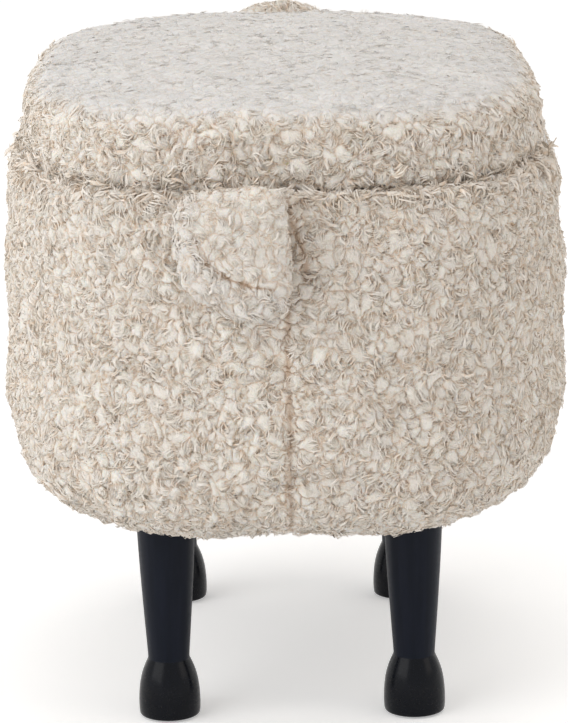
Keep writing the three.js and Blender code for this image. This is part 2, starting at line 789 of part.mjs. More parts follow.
// An ear in the head's own frame: a flattened leaf that droops and sweeps back.
function earForm(side) {
  const leaf = new THREE.SphereGeometry(1, 18, 10).scale(earLength / 2, earThickness / 2, earWidth / 2);
  leaf.translate(earLength / 2, 0, 0);
  leaf.rotateZ(-radians(earSweep)).rotateY(radians(earDroop));
  leaf.translate(headHalfWidth * earRootShare, earAlong, earRise);
  const made = solid(leaf);
  return side > 0 ? made : made.mirror([1, 0, 0]);
}

// The stuffed head: hood, face, filling, ears, and eyes held by washers behind the cloth.
function makeHead() {
  const behind = behindHead();
  const hood = cut(headForm(hoodDepth), headForm(() => fitGap));
  const hoodRoom = headForm((along) => hoodDepth(along) + fitGap);
  addPiece(stool, "head_hood", cut(placeHead(hood), behind), "wool");

  const stemRooms = [];
  const washerRooms = [];
  for (const [name, side] of [["left", -1], ["right", 1]]) {
    const seat = eyeSeat(side);
    const washerTop = -headCloth - washerSink;
    const washerBottom = washerTop - washerThickness;
    const stemRoom = eyeRod(seat, eyeStemRadius + fitGap, -eyeStemLength - fitGap, cutOverrun);
    stemRooms.push(stemRoom);
    washerRooms.push(eyeRod(seat, washerRadius + fitGap, washerBottom - fitGap, cutOverrun));
    addPiece(stool, `eye_${name}`, placeHead(eye(seat)), "eyePlastic");
    const washer = cut(eyeRod(seat, washerRadius, washerBottom, washerTop), stemRoom);
    addPiece(stool, `eye_washer_${name}`, placeHead(washer), "eyePlastic");
    addPiece(stool, `ear_${name}`, cut(placeHead(cut(earForm(side), hoodRoom)), behind), "faceCloth");
  }
  const face = cut(headForm(() => 0), headForm(() => -headCloth), ...stemRooms);
  addPiece(stool, "head_cover", cut(placeHead(face), behind), "faceCloth");
  const filling = cut(headForm(() => -headCloth - fitGap), ...stemRooms, ...washerRooms);
  addPiece(stool, "head_filling", cut(placeHead(filling), behind), "filling");
}

makeCarcass();
makeLinings();
makeBodyPadding();
makeLid();
makeHinges();
makeLegs();
makeTail();
makeHead();

// The origin is on the floor, under the middle of the whole stool.
const extent = new THREE.Box3().setFromObject(stool);
stool.position.y = -(extent.min.y + extent.max.y) / 2;

export default stool;
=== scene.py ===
import json
import math
import random

import bmesh
import bpy
from mathutils import Matrix, Vector, noise

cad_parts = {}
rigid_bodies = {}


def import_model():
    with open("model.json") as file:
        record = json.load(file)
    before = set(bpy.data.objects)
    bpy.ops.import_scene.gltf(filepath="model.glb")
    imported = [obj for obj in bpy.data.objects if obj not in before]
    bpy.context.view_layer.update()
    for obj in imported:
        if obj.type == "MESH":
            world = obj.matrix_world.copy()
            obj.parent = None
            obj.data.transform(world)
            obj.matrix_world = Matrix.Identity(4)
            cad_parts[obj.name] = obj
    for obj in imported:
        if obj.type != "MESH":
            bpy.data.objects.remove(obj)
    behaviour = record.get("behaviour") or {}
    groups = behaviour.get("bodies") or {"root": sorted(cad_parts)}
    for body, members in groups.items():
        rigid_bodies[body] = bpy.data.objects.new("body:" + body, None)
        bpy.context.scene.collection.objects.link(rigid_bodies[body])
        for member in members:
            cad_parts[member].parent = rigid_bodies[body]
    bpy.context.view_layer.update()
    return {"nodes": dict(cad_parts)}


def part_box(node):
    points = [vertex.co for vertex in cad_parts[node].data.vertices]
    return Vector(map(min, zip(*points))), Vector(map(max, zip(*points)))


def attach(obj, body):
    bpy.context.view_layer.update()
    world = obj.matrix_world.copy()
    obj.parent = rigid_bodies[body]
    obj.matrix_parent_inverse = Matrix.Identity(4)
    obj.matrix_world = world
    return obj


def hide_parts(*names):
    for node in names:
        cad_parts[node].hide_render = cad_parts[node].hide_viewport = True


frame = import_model()
mm = 0.001
scene = bpy.context.scene
cadNodes = frame["nodes"]

bodyLow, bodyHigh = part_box("body_cover")
bodyMiddle = (bodyLow + bodyHigh) / 2
lidLow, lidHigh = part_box("lid_cover")
halfWidth = (bodyHigh.x - bodyLow.x) / 2
halfLength = (bodyHigh.y - bodyLow.y) / 2
planExponent = 3  # of the superellipse that the padded outlines follow


# Camera and lights

view = {
    "distance": 2.408,
    "elevation": 13.9,
    "lens": 187.07,
    "sensor": 36,
    "roll": -0.93,
    "targetX": -1.7 * mm,
    "targetZ": 194.6 * mm,
}


def makeCamera():
    up = math.radians(view["elevation"])
    target = Vector((view["targetX"], bodyMiddle.y, view["targetZ"]))
    place = target + view["distance"] * Vector((0, -math.cos(up), math.sin(up)))
    data = bpy.data.cameras.new("camera")
    data.sensor_width = view["sensor"]
    data.lens = view["lens"]
    data.clip_start = 0.1
    camera = bpy.data.objects.new("camera", data)
    look = (target - place).to_track_quat("-Z", "Y").to_matrix()
    roll = Matrix.Rotation(math.radians(view["roll"]), 3, "Z")
    camera.matrix_world = Matrix.Translation(place) @ (look @ roll).to_4x4()
    scene.collection.objects.link(camera)
    scene.camera = camera


makeCamera()
print("camera in place")


# Small tools that every piece uses

def node(tree, kind, settings=None, inputs=None):
    made = tree.nodes.new(kind)
    for key, value in (settings or {}).items():
        setattr(made, key, value)
    for key, value in (inputs or {}).items():
        socket = next(s for s in made.inputs if s.enabled and s.name == key)
        if isinstance(value, bpy.types.NodeSocket):
            tree.links.new(value, socket)
        else:
            socket.default_value = value
    return made


def result(made):  # the output in use of a node that has several of one name
    return next(s for s in made.outputs if s.enabled)


def calculate(tree, operation, first, second=0.0, third=0.0, clamp=False):
    made = node(tree, "ShaderNodeMath", {"operation": operation, "use_clamp": clamp})
    for socket, value in zip(made.inputs, (first, second, third)):
        if isinstance(value, bpy.types.NodeSocket):
            tree.links.new(value, socket)
        else:
            socket.default_value = value
    return made.outputs[0]


def times(tree, made, *values):
    for value in values:
        made = calculate(tree, "MULTIPLY", made, value)
    return made


def plus(tree, made, *values):
    for value in values:
        made = calculate(tree, "ADD", made, value)
    return made


def minus(tree, first, second):
    return calculate(tree, "SUBTRACT", first, second)


def vectorMath(tree, operation, *values):
    made = node(tree, "ShaderNodeVectorMath", {"operation": operation})
    for socket, value in zip(made.inputs, values):
        if isinstance(value, bpy.types.NodeSocket):
            tree.links.new(value, socket)
        else:
            socket.default_value = value
    return made.outputs["Value" if operation == "DOT_PRODUCT" else "Vector"]


def noiseAt(tree, place, scale, detail, **more):  # soft noise, 0 to 1
    return node(tree, "ShaderNodeTexNoise", inputs={
        "Vector": place, "Scale": scale, "Detail": detail, **more}).outputs["Fac"]


def partOf(tree, vector, axis="Z"):
    return node(tree, "ShaderNodeSeparateXYZ", inputs={"Vector": vector}).outputs[axis]


def addPiece(name, data):
    made = bpy.data.objects.new(name, data)
    scene.collection.objects.link(made)
    return made


def pieceFrom(name, bm):
    for face in bm.faces:
        face.smooth = True
    mesh = bpy.data.meshes.new(name)
    bm.to_mesh(mesh)
    bm.free()
    return addPiece(name, mesh)


def editMesh(piece, change):
    bm = bmesh.new()
    bm.from_mesh(piece.data)
    change(bm)
    bm.to_mesh(piece.data)
    bm.free()


def settle(piece):  # applies every modifier
    graph = bpy.context.evaluated_depsgraph_get()
    mesh = bpy.data.meshes.new_from_object(
        piece.evaluated_get(graph), preserve_all_data_layers=True, depsgraph=graph)
    old = piece.data
    piece.modifiers.clear()
    piece.data = mesh
    mesh.name = piece.name
    bpy.data.meshes.remove(old)


def modify(piece, kind, **values):
    made = piece.modifiers.new(kind.lower(), kind)
    for key, value in values.items():
        setattr(made, key, value)


def soften(piece, levels):
    modify(piece, "SUBSURF", levels=levels, render_levels=levels)
    settle(piece)


def dress(piece, material, slot, body, *replaced, fill=None):  # fill is not used
    piece.data.materials.clear()
    piece.data.materials.append(material)
    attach(piece, body)
    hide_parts(*replaced)


def outlineReach(x, y, inset):  # under 1 inside the padded outline, moved in by an inset
    across = abs(x) / (halfWidth - inset)
    along = abs(y - bodyMiddle.y) / (halfLength - inset)
    return (across ** planExponent + along ** planExponent) ** (1 / planExponent)


def onOutline(x, y, inset):  # the same direction from the middle, moved onto the outline
    reach = outlineReach(x, y, inset)
    return x / reach, bodyMiddle.y + (y - bodyMiddle.y) / reach


def smoothStep(low, high, value):
    share = min(1, max(0, (value - low) / (high - low)))
    return share * share * (3 - 2 * share)


# Node groups that several materials use

def newGroup(name, inputs, outputs):
    tree = bpy.data.node_groups.new(name, "ShaderNodeTree")
    for label, kind, value in inputs:
        socket = tree.interface.new_socket(label, in_out="INPUT", socket_type=kind)
        if value is not None:
            socket.default_value = value
    for label, kind in outputs:
        tree.interface.new_socket(label, in_out="OUTPUT", socket_type=kind)
    return tree, tree.nodes.new("NodeGroupInput"), tree.nodes.new("NodeGroupOutput")


def makeFibreGroup():  # fine streaks along a fibre, whose strand holds its number and the share of its length
    tree, given, out = newGroup(
        "fibreStreaks",
        [("Vector", "NodeSocketVector", None), ("Seed", "NodeSocketFloat", 0.0)],
        [("Streaks", "NodeSocketFloat")],
    )
    apart = times(tree, given.outputs["Seed"], 83.0)
    place = vectorMath(tree, "MULTIPLY_ADD", given.outputs["Vector"], (3.2, 3.2, 2.2), apart)
    tree.links.new(noiseAt(tree, place, 1.0, 3.0, Roughness=0.65), out.inputs["Streaks"])
    return tree


def bent(tree, place, bends):  # a place moved by soft noise; each bend is a scale and a reach
    moved = place
    for scale, reach in bends:
        drift = node(tree, "ShaderNodeTexNoise", inputs={"Vector": place, "Scale": scale, "Detail": 1.5})
        centred = vectorMath(tree, "SUBTRACT", drift.outputs["Color"], (0.5, 0.5, 0.5))
        moved = vectorMath(tree, "MULTIPLY_ADD", centred, (reach,) * 3, moved)
    return moved


def ridges(tree, place, scale, sharpness):  # rounded worm-like rises with thin creases between them
    folds = noiseAt(tree, place, scale, 1.0, Distortion=0.6)
    away = calculate(tree, "ABSOLUTE", minus(tree, folds, 0.5))
    return calculate(tree, "POWER", calculate(tree, "MULTIPLY", away, 6.0, clamp=True), sharpness)


def makeFuzzGroup():  # short tangled nap: a height and a soft light and dark
    tree, given, out = newGroup(
        "nap",
        [("Vector", "NodeSocketVector", None), ("Size", "NodeSocketFloat", None),
         ("Patches", "NodeSocketFloat", None)],
        [("Height", "NodeSocketFloat"), ("Shade", "NodeSocketFloat")],
    )
    place = given.outputs["Vector"]
    fine = noiseAt(tree, place, given.outputs["Size"], 4.0, Roughness=0.7, Distortion=0.6)
    wide = noiseAt(tree, place, given.outputs["Patches"], 3.0)
    shade = node(tree, "ShaderNodeMix", inputs={"Factor": 0.5, "A": fine, "B": wide})
    tree.links.new(fine, out.inputs["Height"])
    tree.links.new(result(shade), out.inputs["Shade"])
    return tree


tuftShape = {
    "bends": ((26.0, 16 * mm), (90.0, 9 * mm), (240.0, 3.6 * mm), (800.0, 1.5 * mm)),
    "cells": 118.0,
    "rounding": 0.34,
    "tilt": 70.0,
    "sag": (0.0, 0.0, -0.25),
    "spread": 0.35,
}


def tuftPattern(tree, place):  # rounded, tilted tufts with creases between: height, dome, chance, place
    warped = bent(tree, place, tuftShape["bends"])
    edges = node(tree, "ShaderNodeTexVoronoi", {"feature": "DISTANCE_TO_EDGE"}, {
        "Vector": warped, "Scale": tuftShape["cells"], "Randomness": 1.0})
    cells = node(tree, "ShaderNodeTexVoronoi", {"feature": "F1"}, {
        "Vector": warped, "Scale": tuftShape["cells"], "Randomness": 1.0})
    near = calculate(tree, "DIVIDE", edges.outputs["Distance"], tuftShape["rounding"], clamp=True)
    fall = minus(tree, 1.0, near)
    dome = calculate(tree, "SQRT", minus(tree, 1.0, times(tree, fall, fall)))
    chance = partOf(tree, cells.outputs["Color"], "X")
    lean = vectorMath(tree, "ADD", vectorMath(
        tree, "SUBTRACT", cells.outputs["Color"], (0.5, 0.5, 0.5)), tuftShape["sag"])
    away = vectorMath(tree, "SUBTRACT", warped, cells.outputs["Position"])
    tilt = times(tree, vectorMath(tree, "DOT_PRODUCT", away, lean), tuftShape["tilt"])
    size = plus(tree, times(tree, chance, tuftShape["spread"]), 0.8)
    height = times(tree, dome, plus(tree, size, tilt))
    return height, dome, chance, warped


def makeRingletGroup():  # tufts as the skin has them, and the finer curls and fibres in them
    tree, given, out = newGroup(
        "ringlets", [("Vector", "NodeSocketVector", None)],
        [(label, "NodeSocketFloat") for label in ("Dome", "Chance", "Curls", "Fibres", "Patches")],
    )
    _, dome, chance, warped = tuftPattern(tree, given.outputs["Vector"])
    masks = {
        "Dome": dome, "Chance": chance, "Curls": ridges(tree, warped, 300.0, 0.8),
        "Fibres": noiseAt(tree, warped, 950.0, 3.0, Roughness=0.7, Distortion=1.5),
        "Patches": noiseAt(tree, given.outputs["Vector"], 24.0, 3.0)}
    for label, mask in masks.items():
        tree.links.new(mask, out.inputs[label])
    return tree


def makeWeaveGroup():  # plain weave of thin threads
    threads = 900  # to the metre
    tree, given, out = newGroup(
        "weave", [("Vector", "NodeSocketVector", None)], [("Height", "NodeSocketFloat")])
    parts = node(tree, "ShaderNodeSeparateXYZ", inputs={"Vector": given.outputs["Vector"]}).outputs
    warp, weft = (
        calculate(tree, "SINE", times(tree, place, threads * math.pi))
        for place in (parts["X"], plus(tree, parts["Y"], parts["Z"])))
    tree.links.new(times(tree, warp, weft), out.inputs["Height"])
    return tree


fibreStreaks = makeFibreGroup()
nap = makeFuzzGroup()
ringlets = makeRingletGroup()
weave = makeWeaveGroup()


def useGroup(tree, group, inputs):
    return node(tree, "ShaderNodeGroup", {"node_tree": group}, inputs)


def newMaterial(name, values):
    material = bpy.data.materials.new(name)
    material.use_nodes = True
    tree = material.node_tree
    shader = tree.nodes["Principled BSDF"]
    for key, value in values.items():
        shader.inputs[key].default_value = value
    return material, tree, shader


def ramp(tree, factor, stops):  # stops are (place, colour) pairs
    made = node(tree, "ShaderNodeValToRGB", inputs={"Fac": factor})
    elements = made.color_ramp.elements
    for (place, colour), element in zip(stops, elements):
        element.position = place
        element.color = (*colour, 1)
    for place, colour in stops[2:]:
        elements.new(place).color = (*colour, 1)
    return made.outputs["Color"]


def blendColour(tree, factor, first, second, kind="MIX"):
    made = tree.nodes.new("ShaderNodeMix")
    made.data_type = "RGBA"
    made.blend_type = kind
    for key, value in (("Factor", factor), ("A", first), ("B", second)):
        socket = next(s for s in made.inputs if s.enabled and s.name == key)
        if isinstance(value, bpy.types.NodeSocket):
            tree.links.new(value, socket)
        elif isinstance(value, tuple):
            socket.default_value = (*value, 1)
        else:
            socket.default_value = value
    return result(made)


def stretch(tree, value, low, high, newLow, newHigh):
    made = node(tree, "ShaderNodeMapRange", inputs={
        "Value": value, "From Min": low, "From Max": high, "To Min": newLow, "To Max": newHigh})
    return made.outputs["Result"]


def bump(tree, shader, height, distance, strength=1.0):
    made = node(tree, "ShaderNodeBump", inputs={
        "Strength": strength, "Distance": distance, "Height": height})
    tree.links.new(made.outputs["Normal"], shader.inputs["Normal"])


def objectPlace(tree, scale=None):
    place = tree.nodes.new("ShaderNodeTexCoord").outputs["Object"]
    if scale:
        place = node(tree, "ShaderNodeMapping", inputs={"Vector": place, "Scale": scale}).outputs["Vector"]
    return place


def attribute(tree, label, output="Fac"):
    return node(tree, "ShaderNodeAttribute", {"attribute_name": label}).outputs[output]


def shaded(tree, colour, red, green, blue):  # the colour times a light for each of its parts
    light = node(tree, "ShaderNodeCombineColor", inputs={"Red": red, "Green": green, "Blue": blue})
    return blendColour(tree, 1.0, colour, light.outputs["Color"], "MULTIPLY")


# Wool: the curls, and the cloth that they grow from

wool = {
    # painted shade: the tan that creases, seams and gaps over and beside the tail take in shade
    "creaseShade": (0.6, 0.43, 0.3),
    # root: painted shade, the tan low in the creases between tufts and at the fibre roots
    "root": (0.9, 0.71, 0.54),
    "mid": (0.92, 0.83, 0.735),
    "tip": (0.945, 0.895, 0.83),
    "pressed": (0.82, 0.8, 0.78),  # pale grey white: painted cool light of the seat's upward-facing top, and a little on the tail's border and the hood
}


def woolColour(tree, level, middle, high, shadeShare):  # from the creases up, at two shares of the level; the low levels are painted shade, and the marked shares mix in a painted cool top light and painted crease shade
    cream = ramp(tree, level, [(0.0, wool["root"]), (middle, wool["mid"]), (high, wool["tip"])])
    pressed = ramp(tree, level, [(0.0, wool["mid"]), (middle, wool["pressed"]), (high, wool["pressed"])])
    # painted cool top light, mixed in by the tone share
    both = blendColour(tree, attribute(tree, "pileTone"), cream, pressed)
    # painted crease shade, by the marked share
    fold = times(tree, attribute(tree, "pileCrease"), shadeShare)
    return blendColour(tree, fold, both, wool["creaseShade"])


def makeWoolMaterial():
    material, tree, shader = newMaterial("woolCurls", {
        "Roughness": 0.95, "Specular IOR Level": 0.15,
    })
    strand = attribute(tree, "strand", "Vector")
    tint = attribute(tree, "lockTint")
    streaks = useGroup(tree, fibreStreaks, {"Vector": strand, "Seed": tint}).outputs[0]
    dome = useGroup(tree, ringlets, {"Vector": attribute(tree, "restPlace", "Vector")}).outputs["Dome"]
    # darker towards the fibre roots and where the tuft's dome falls to a crease: painted shade
    level = times(tree, stretch(tree, partOf(tree, strand), 0.0, 0.4, 0.6, 1.0), dome)
    both = woolColour(tree, level, 0.4, 0.8, 0.55)
    light = stretch(tree, tint, 0, 1, 0.92, 1.04)
    lit = shaded(
        tree, both, light, calculate(tree, "POWER", light, 1.2), calculate(tree, "POWER", light, 1.6))
    fibre = stretch(tree, streaks, 0.3, 0.7, 0.93, 1.04)
    tree.links.new(shaded(tree, lit, fibre, fibre, fibre), shader.inputs["Base Color"])
    bump(tree, shader, streaks, 0.2 * mm, 0.5)
    return material


def makeFleeceMaterial():
    material, tree, shader = newMaterial("woolFleece", {
        "Roughness": 0.95, "Specular IOR Level": 0.15, "Subsurface Weight": 0.5,
        "Subsurface Radius": (1.0, 0.85, 0.7), "Subsurface Scale": 2.5 * mm})
    ringlet = useGroup(tree, ringlets, {"Vector": attribute(tree, "restPlace", "Vector")})
    dome, chance, curls, fibres, patches = (
        ringlet.outputs[key] for key in ("Dome", "Chance", "Curls", "Fibres", "Patches"))
    # low in the creases between tufts and curls, which take painted shade
    level = times(
        tree, dome, stretch(tree, curls, 0.0, 0.6, 0.8, 1.0), stretch(tree, fibres, 0.3, 0.7, 0.8, 1.2))
    both = woolColour(tree, level, 0.45, 0.85, 1.0)
    shade = times(
        tree, stretch(tree, fibres, 0.3, 0.7, 0.94, 1.04), stretch(tree, patches, 0.3, 0.7, 0.96, 1.02),
        stretch(tree, chance, 0, 1, 0.95, 1.03))
    tree.links.new(shaded(tree, both, shade, shade, shade), shader.inputs["Base Color"])
    height = plus(tree, times(tree, dome, 0.5), times(tree, curls, 0.3), times(tree, fibres, 0.3))
    bump(tree, shader, height, 1.8 * mm, 0.9)
    return material


# The other finishes

def makeNapMaterial(name, dark, pale, size):
    material, tree, shader = newMaterial(name, {
        "Roughness": 0.95, "Sheen Weight": 0.35, "Sheen Roughness": 0.45, "Specular IOR Level": 0.2})
    fuzz = useGroup(tree, nap, {"Vector": objectPlace(tree), "Size": size, "Patches": 55.0})
    tree.links.new(ramp(tree, fuzz.outputs["Shade"], [(0.3, dark), (0.7, pale)]), shader.inputs["Base Color"])
    bump(tree, shader, fuzz.outputs["Height"], 0.5 * mm)
    return material


def makeClothMaterial():
    material, tree, shader = newMaterial("blackLining", {
        "Roughness": 0.92, "Sheen Weight": 0.2, "Sheen Roughness": 0.4, "Specular IOR Level": 0.2})
    place = objectPlace(tree)
    threads = useGroup(tree, weave, {"Vector": place}).outputs["Height"]
    fuzz = useGroup(tree, nap, {"Vector": place, "Size": 1500.0, "Patches": 25.0})
    tree.links.new(
        ramp(tree, fuzz.outputs["Shade"], [(0.3, (0.012, 0.012, 0.013)), (0.7, (0.026, 0.026, 0.028))]),
        shader.inputs["Base Color"])
    bump(tree, shader, threads, 0.25 * mm, 0.6)
    return material


def makePaintMaterial():  # satin black lacquer on turned wood
    material, tree, shader = newMaterial("blackPaint", {
        "Specular IOR Level": 0.12, "Coat Roughness": 0.2})
    place = objectPlace(tree)
    lines = noiseAt(tree, objectPlace(tree, (260.0, 260.0, 14.0)), 1.0, 3.0)
    peel = noiseAt(tree, place, 420.0, 2.0)
    hoof = stretch(tree, partOf(tree, place), 37.2 * mm, 38 * mm, 1.0, 0.0)
    coloured = ramp(tree, lines, [(0.3, (0.0035, 0.0055, 0.011)), (0.7, (0.006, 0.0085, 0.017))])
    tree.links.new(
        blendColour(tree, times(tree, hoof, 0.75), coloured, (0.0005, 0.0008, 0.002)),
        shader.inputs["Base Color"])
    satin = stretch(tree, peel, 0.3, 0.7, 0.36, 0.46)
    tree.links.new(
        minus(tree, satin, times(tree, hoof, 0.16)), shader.inputs["Roughness"])
    tree.links.new(times(tree, hoof, 0.06), shader.inputs["Coat Weight"])
    bump(tree, shader, plus(tree, lines, peel), 0.08 * mm, 0.5)
    return material


def makeBoardMaterial():  # pale plywood
    material, tree, shader = newMaterial("plywood", {"Specular IOR Level": 0.3})
    rings = noiseAt(tree, objectPlace(tree, (90.0, 9.0, 260.0)), 1.0, 5.0, Distortion=0.8)
    colour = ramp(tree, rings, [(0.3, (0.4, 0.25, 0.13)), (0.7, (0.63, 0.44, 0.26))])
    tree.links.new(colour, shader.inputs["Base Color"])
    tree.links.new(stretch(tree, rings, 0.3, 0.7, 0.6, 0.78), shader.inputs["Roughness"])
    bump(tree, shader, rings, 0.2 * mm, 0.5)
    return material


def makeSteelMaterial():  # zinc-plated steel with fine rolling lines
    material, tree, shader = newMaterial("platedSteel", {"Metallic": 1.0})
    lines = noiseAt(tree, objectPlace(tree, (2200.0, 60.0, 900.0)), 1.0, 3.0)
    cloud = noiseAt(tree, objectPlace(tree), 120.0, 4.0)
    colour = ramp(tree, cloud, [(0.35, (0.42, 0.43, 0.44)), (0.65, (0.62, 0.63, 0.64))])
    tree.links.new(colour, shader.inputs["Base Color"])
    tree.links.new(stretch(tree, lines, 0.3, 0.7, 0.24, 0.42), shader.inputs["Roughness"])
    bump(tree, shader, lines, 0.05 * mm, 0.4)
    return material


def makeFoamMaterial(name, dark, pale, cells):
    material, tree, shader = newMaterial(name, {"Roughness": 0.95, "Specular IOR Level": 0.15})
    pores = node(tree, "ShaderNodeTexVoronoi", inputs={"Vector": objectPlace(tree), "Scale": cells})
    colour = ramp(tree, pores.outputs["Distance"], [(0.0, dark), (0.6, pale)])
    tree.links.new(colour, shader.inputs["Base Color"])
    bump(tree, shader, pores.outputs["Distance"], 0.8 * mm, 0.6)
    return material


def makeEyeMaterial():
    material, tree, shader = newMaterial("eyeGloss", {
        "Specular IOR Level": 0.3, "Coat Weight": 0.25, "Coat Roughness": 0.04})
    cloud = noiseAt(tree, objectPlace(tree), 500.0, 3.0)
    tree.links.new(
        ramp(tree, cloud, [(0.3, (0.005, 0.004, 0.004)), (0.7, (0.014, 0.009, 0.007))]),
        shader.inputs["Base Color"])
    tree.links.new(stretch(tree, cloud, 0.3, 0.7, 0.08, 0.14), shader.inputs["Roughness"])
    return material


woolCurls = makeWoolMaterial()
woolFleece = makeFleeceMaterial()
faceCloth = makeNapMaterial("faceCloth", (0.012, 0.012, 0.015), (0.035, 0.035, 0.042), 1600.0)
feltCloth = makeNapMaterial("padFelt", (0.05, 0.05, 0.05), (0.12, 0.12, 0.12), 1300.0)
blackLining = makeClothMaterial()
blackPaint = makePaintMaterial()
plywood = makeBoardMaterial()
platedSteel = makeSteelMaterial()
foam = makeFoamMaterial("seatFoam", (0.6, 0.52, 0.3), (0.86, 0.79, 0.55), 420.0)
stuffing = makeFoamMaterial("stuffing", (0.7, 0.7, 0.68), (0.93, 0.93, 0.91), 160.0)
eyeGloss = makeEyeMaterial()
print("materials made")


# Skins of the padded pieces

def skinOf(name, cadNames, voxel, hull=False):  # a closed skin round the solids of some CAD nodes
    bm = bmesh.new()
    for cadName in cadNames:
        bm.from_mesh(cadNodes[cadName].data)
    bmesh.ops.remove_doubles(bm, verts=bm.verts, dist=0.01 * mm)
    if hull:
        bmesh.ops.delete(bm, geom=bm.edges[:], context="EDGES_FACES")
        made = bmesh.ops.convex_hull(bm, input=bm.verts[:])
        spare = [v for v in made["geom_interior"] + made["geom_unused"] if isinstance(v, bmesh.types.BMVert)]
        bmesh.ops.delete(bm, geom=list(set(spare)), context="VERTS")
    piece = pieceFrom(name, bm)
    modify(piece, "REMESH", mode="VOXEL", voxel_size=voxel, use_smooth_shade=True)
    settle(piece)
    return piece


def sinkSkin(piece, depth, flatSide=0):  # moves a skin in, but not its flat top (1) or bottom (-1)
    def sink(bm):
        for _ in range(2):
            bmesh.ops.smooth_vert(
                bm, verts=bm.verts, factor=0.5, use_axis_x=True, use_axis_y=True, use_axis_z=True)
        bm.normal_update()
        for vertex in bm.verts:
            move = vertex.normal * -depth
            if flatSide * vertex.normal.z > 0.7:
                move.z = 0
            vertex.co += move

    editMesh(piece, sink)


def inflate(piece, settings):  # lets air pressure swell a skin, no further than its cap
    start = [vertex.co.copy() for vertex in piece.data.vertices]
    cloth = piece.modifiers.new("cloth", "CLOTH")
    cloth.settings.quality = 4
    cloth.settings.use_pressure = True
    cloth.settings.uniform_pressure_force = settings["pressure"]
    cloth.settings.effector_weights.gravity = 0
    cloth.collision_settings.use_collision = False
    cloth.point_cache.frame_start = 1
    cloth.point_cache.frame_end = settings["frames"]
    for step in range(settings["frames"]):
        scene.frame_set(step + 1)
    graph = bpy.context.evaluated_depsgraph_get()
    swollen = piece.evaluated_get(graph).data.vertices
    for vertex, before, after in zip(piece.data.vertices, start, swollen):
        move = after.co - before
        vertex.co = before + move * min(1, settings["cap"] / max(move.length, settings["cap"] / 100))
    piece.modifiers.remove(cloth)
    scene.frame_set(1)


def openSkin(bm, inset, height, drop):  # cuts an opening along the padded outline and turns its edge
    def within(face):
        middle = face.calc_center_median()
        return abs(middle.z - height) < 4 * mm and outlineReach(middle.x, middle.y, inset) < 1
    bmesh.ops.delete(bm, geom=[face for face in bm.faces if within(face)], context="FACES")
    edge = [e for e in bm.edges if e.is_boundary and abs(e.verts[0].co.z - height) < 8 * mm]
    rim = {vertex for e in edge for vertex in e.verts}
    for vertex in rim:
        x, y = onOutline(vertex.co.x, vertex.co.y, inset)
        vertex.co = Vector((x, y, height))
    turned = bmesh.ops.extrude_edge_only(bm, edges=edge)
    fresh = [v for v in turned["geom"] if isinstance(v, bmesh.types.BMVert)]
    bmesh.ops.translate(bm, verts=fresh, vec=(0, 0, drop))


def refine(bm, near):  # a finer mesh where a seam needs it
    edges = [e for e in bm.edges if near(e.verts[0].co) and near(e.verts[1].co)]
    bmesh.ops.subdivide_edges(bm, edges=edges, cuts=1, use_grid_fill=True)


def lumps(point, size, seed):  # soft unevenness, -1 to 1
    return noise.noise(point / size + Vector((seed, seed, seed)))


def gapTo(line, point):  # distance in the picture's plane from a line of (x, z) points in mm
    here = Vector((point.x, point.z))
    gaps = []
    for start, end in zip(line, line[1:]):
        start, end = Vector(start) * mm, Vector(end) * mm
        share = max(0, min(1, (here - start).dot(end - start) / (end - start).length_squared))
        gaps.append((here - start.lerp(end, share)).length)
    return min(gaps)


def markPile(piece, pile):  # how long, high and dense the wool is at each point, and how much painted cool top light and painted crease shade it takes
    names = ("pileLength", "pileLift", "pileDensity", "pileTone", "pileCrease")
    values = [pile(vertex.co, vertex.normal) for vertex in piece.data.vertices]
    for name, column in zip(names, zip(*values)):
        piece.data.attributes.new(name, "FLOAT", "POINT").data.foreach_set("value", column)


# Tufts: the skin itself rises in rounded tufts with creases between them

tufts = {
    "height": 3.1 * mm,
    "level": 0.6,  # share of the height that stays below the skin
}


def stored(tree, label, kind="FLOAT"):
    return result(node(tree, "GeometryNodeInputNamedAttribute", {"data_type": kind}, {"Name": label}))


def raisedByTufts(tree, geometry, place, upward):  # moves geometry up by the tufts at a place, which it keeps
    amount = times(
        tree, stored(tree, "pileLength"), stored(tree, "pileLift"), tufts["height"])
    rise = minus(tree, tuftPattern(tree, place)[0], tufts["level"])
    offset = vectorMath(tree, "MULTIPLY", upward, times(tree, rise, amount))
    kept = node(tree, "GeometryNodeStoreNamedAttribute", {"data_type": "FLOAT_VECTOR", "domain": "POINT"}, {
        "Geometry": geometry, "Name": "restPlace", "Value": place})
    moved = node(tree, "GeometryNodeSetPosition", inputs={
        "Geometry": kept.outputs[0], "Offset": offset})
    return moved.outputs[0]


def geometryTree(name):
    tree = bpy.data.node_groups.new(name, "GeometryNodeTree")
    for way in ("INPUT", "OUTPUT"):
        tree.interface.new_socket("Geometry", in_out=way, socket_type="NodeSocketGeometry")
    given = tree.nodes.new("NodeGroupInput").outputs[0]
    out = tree.nodes.new("NodeGroupOutput").inputs[0]
    return tree, given, out, tree.nodes.new("GeometryNodeInputPosition").outputs[0]


def makeTuftTree():
    tree, given, out, place = geometryTree("tufts")
    upward = tree.nodes.new("GeometryNodeInputNormal").outputs[0]
    tree.links.new(raisedByTufts(tree, given, place, upward), out)
    return tree


tuftTree = makeTuftTree()


def forget(piece, *labels):
    for label in labels:
        found = piece.data.attributes.get(label)
        if found:
            piece.data.attributes.remove(found)


def raiseTufts(piece, levels):
    modify(piece, "SUBSURF", levels=levels, render_levels=levels)
    modify(piece, "NODES", node_group=tuftTree)
    settle(piece)
    forget(piece, "pileLength", "pileLift", "pileDensity")


# Curls: a few tufts of bent, tapering fibres, scattered over a skin

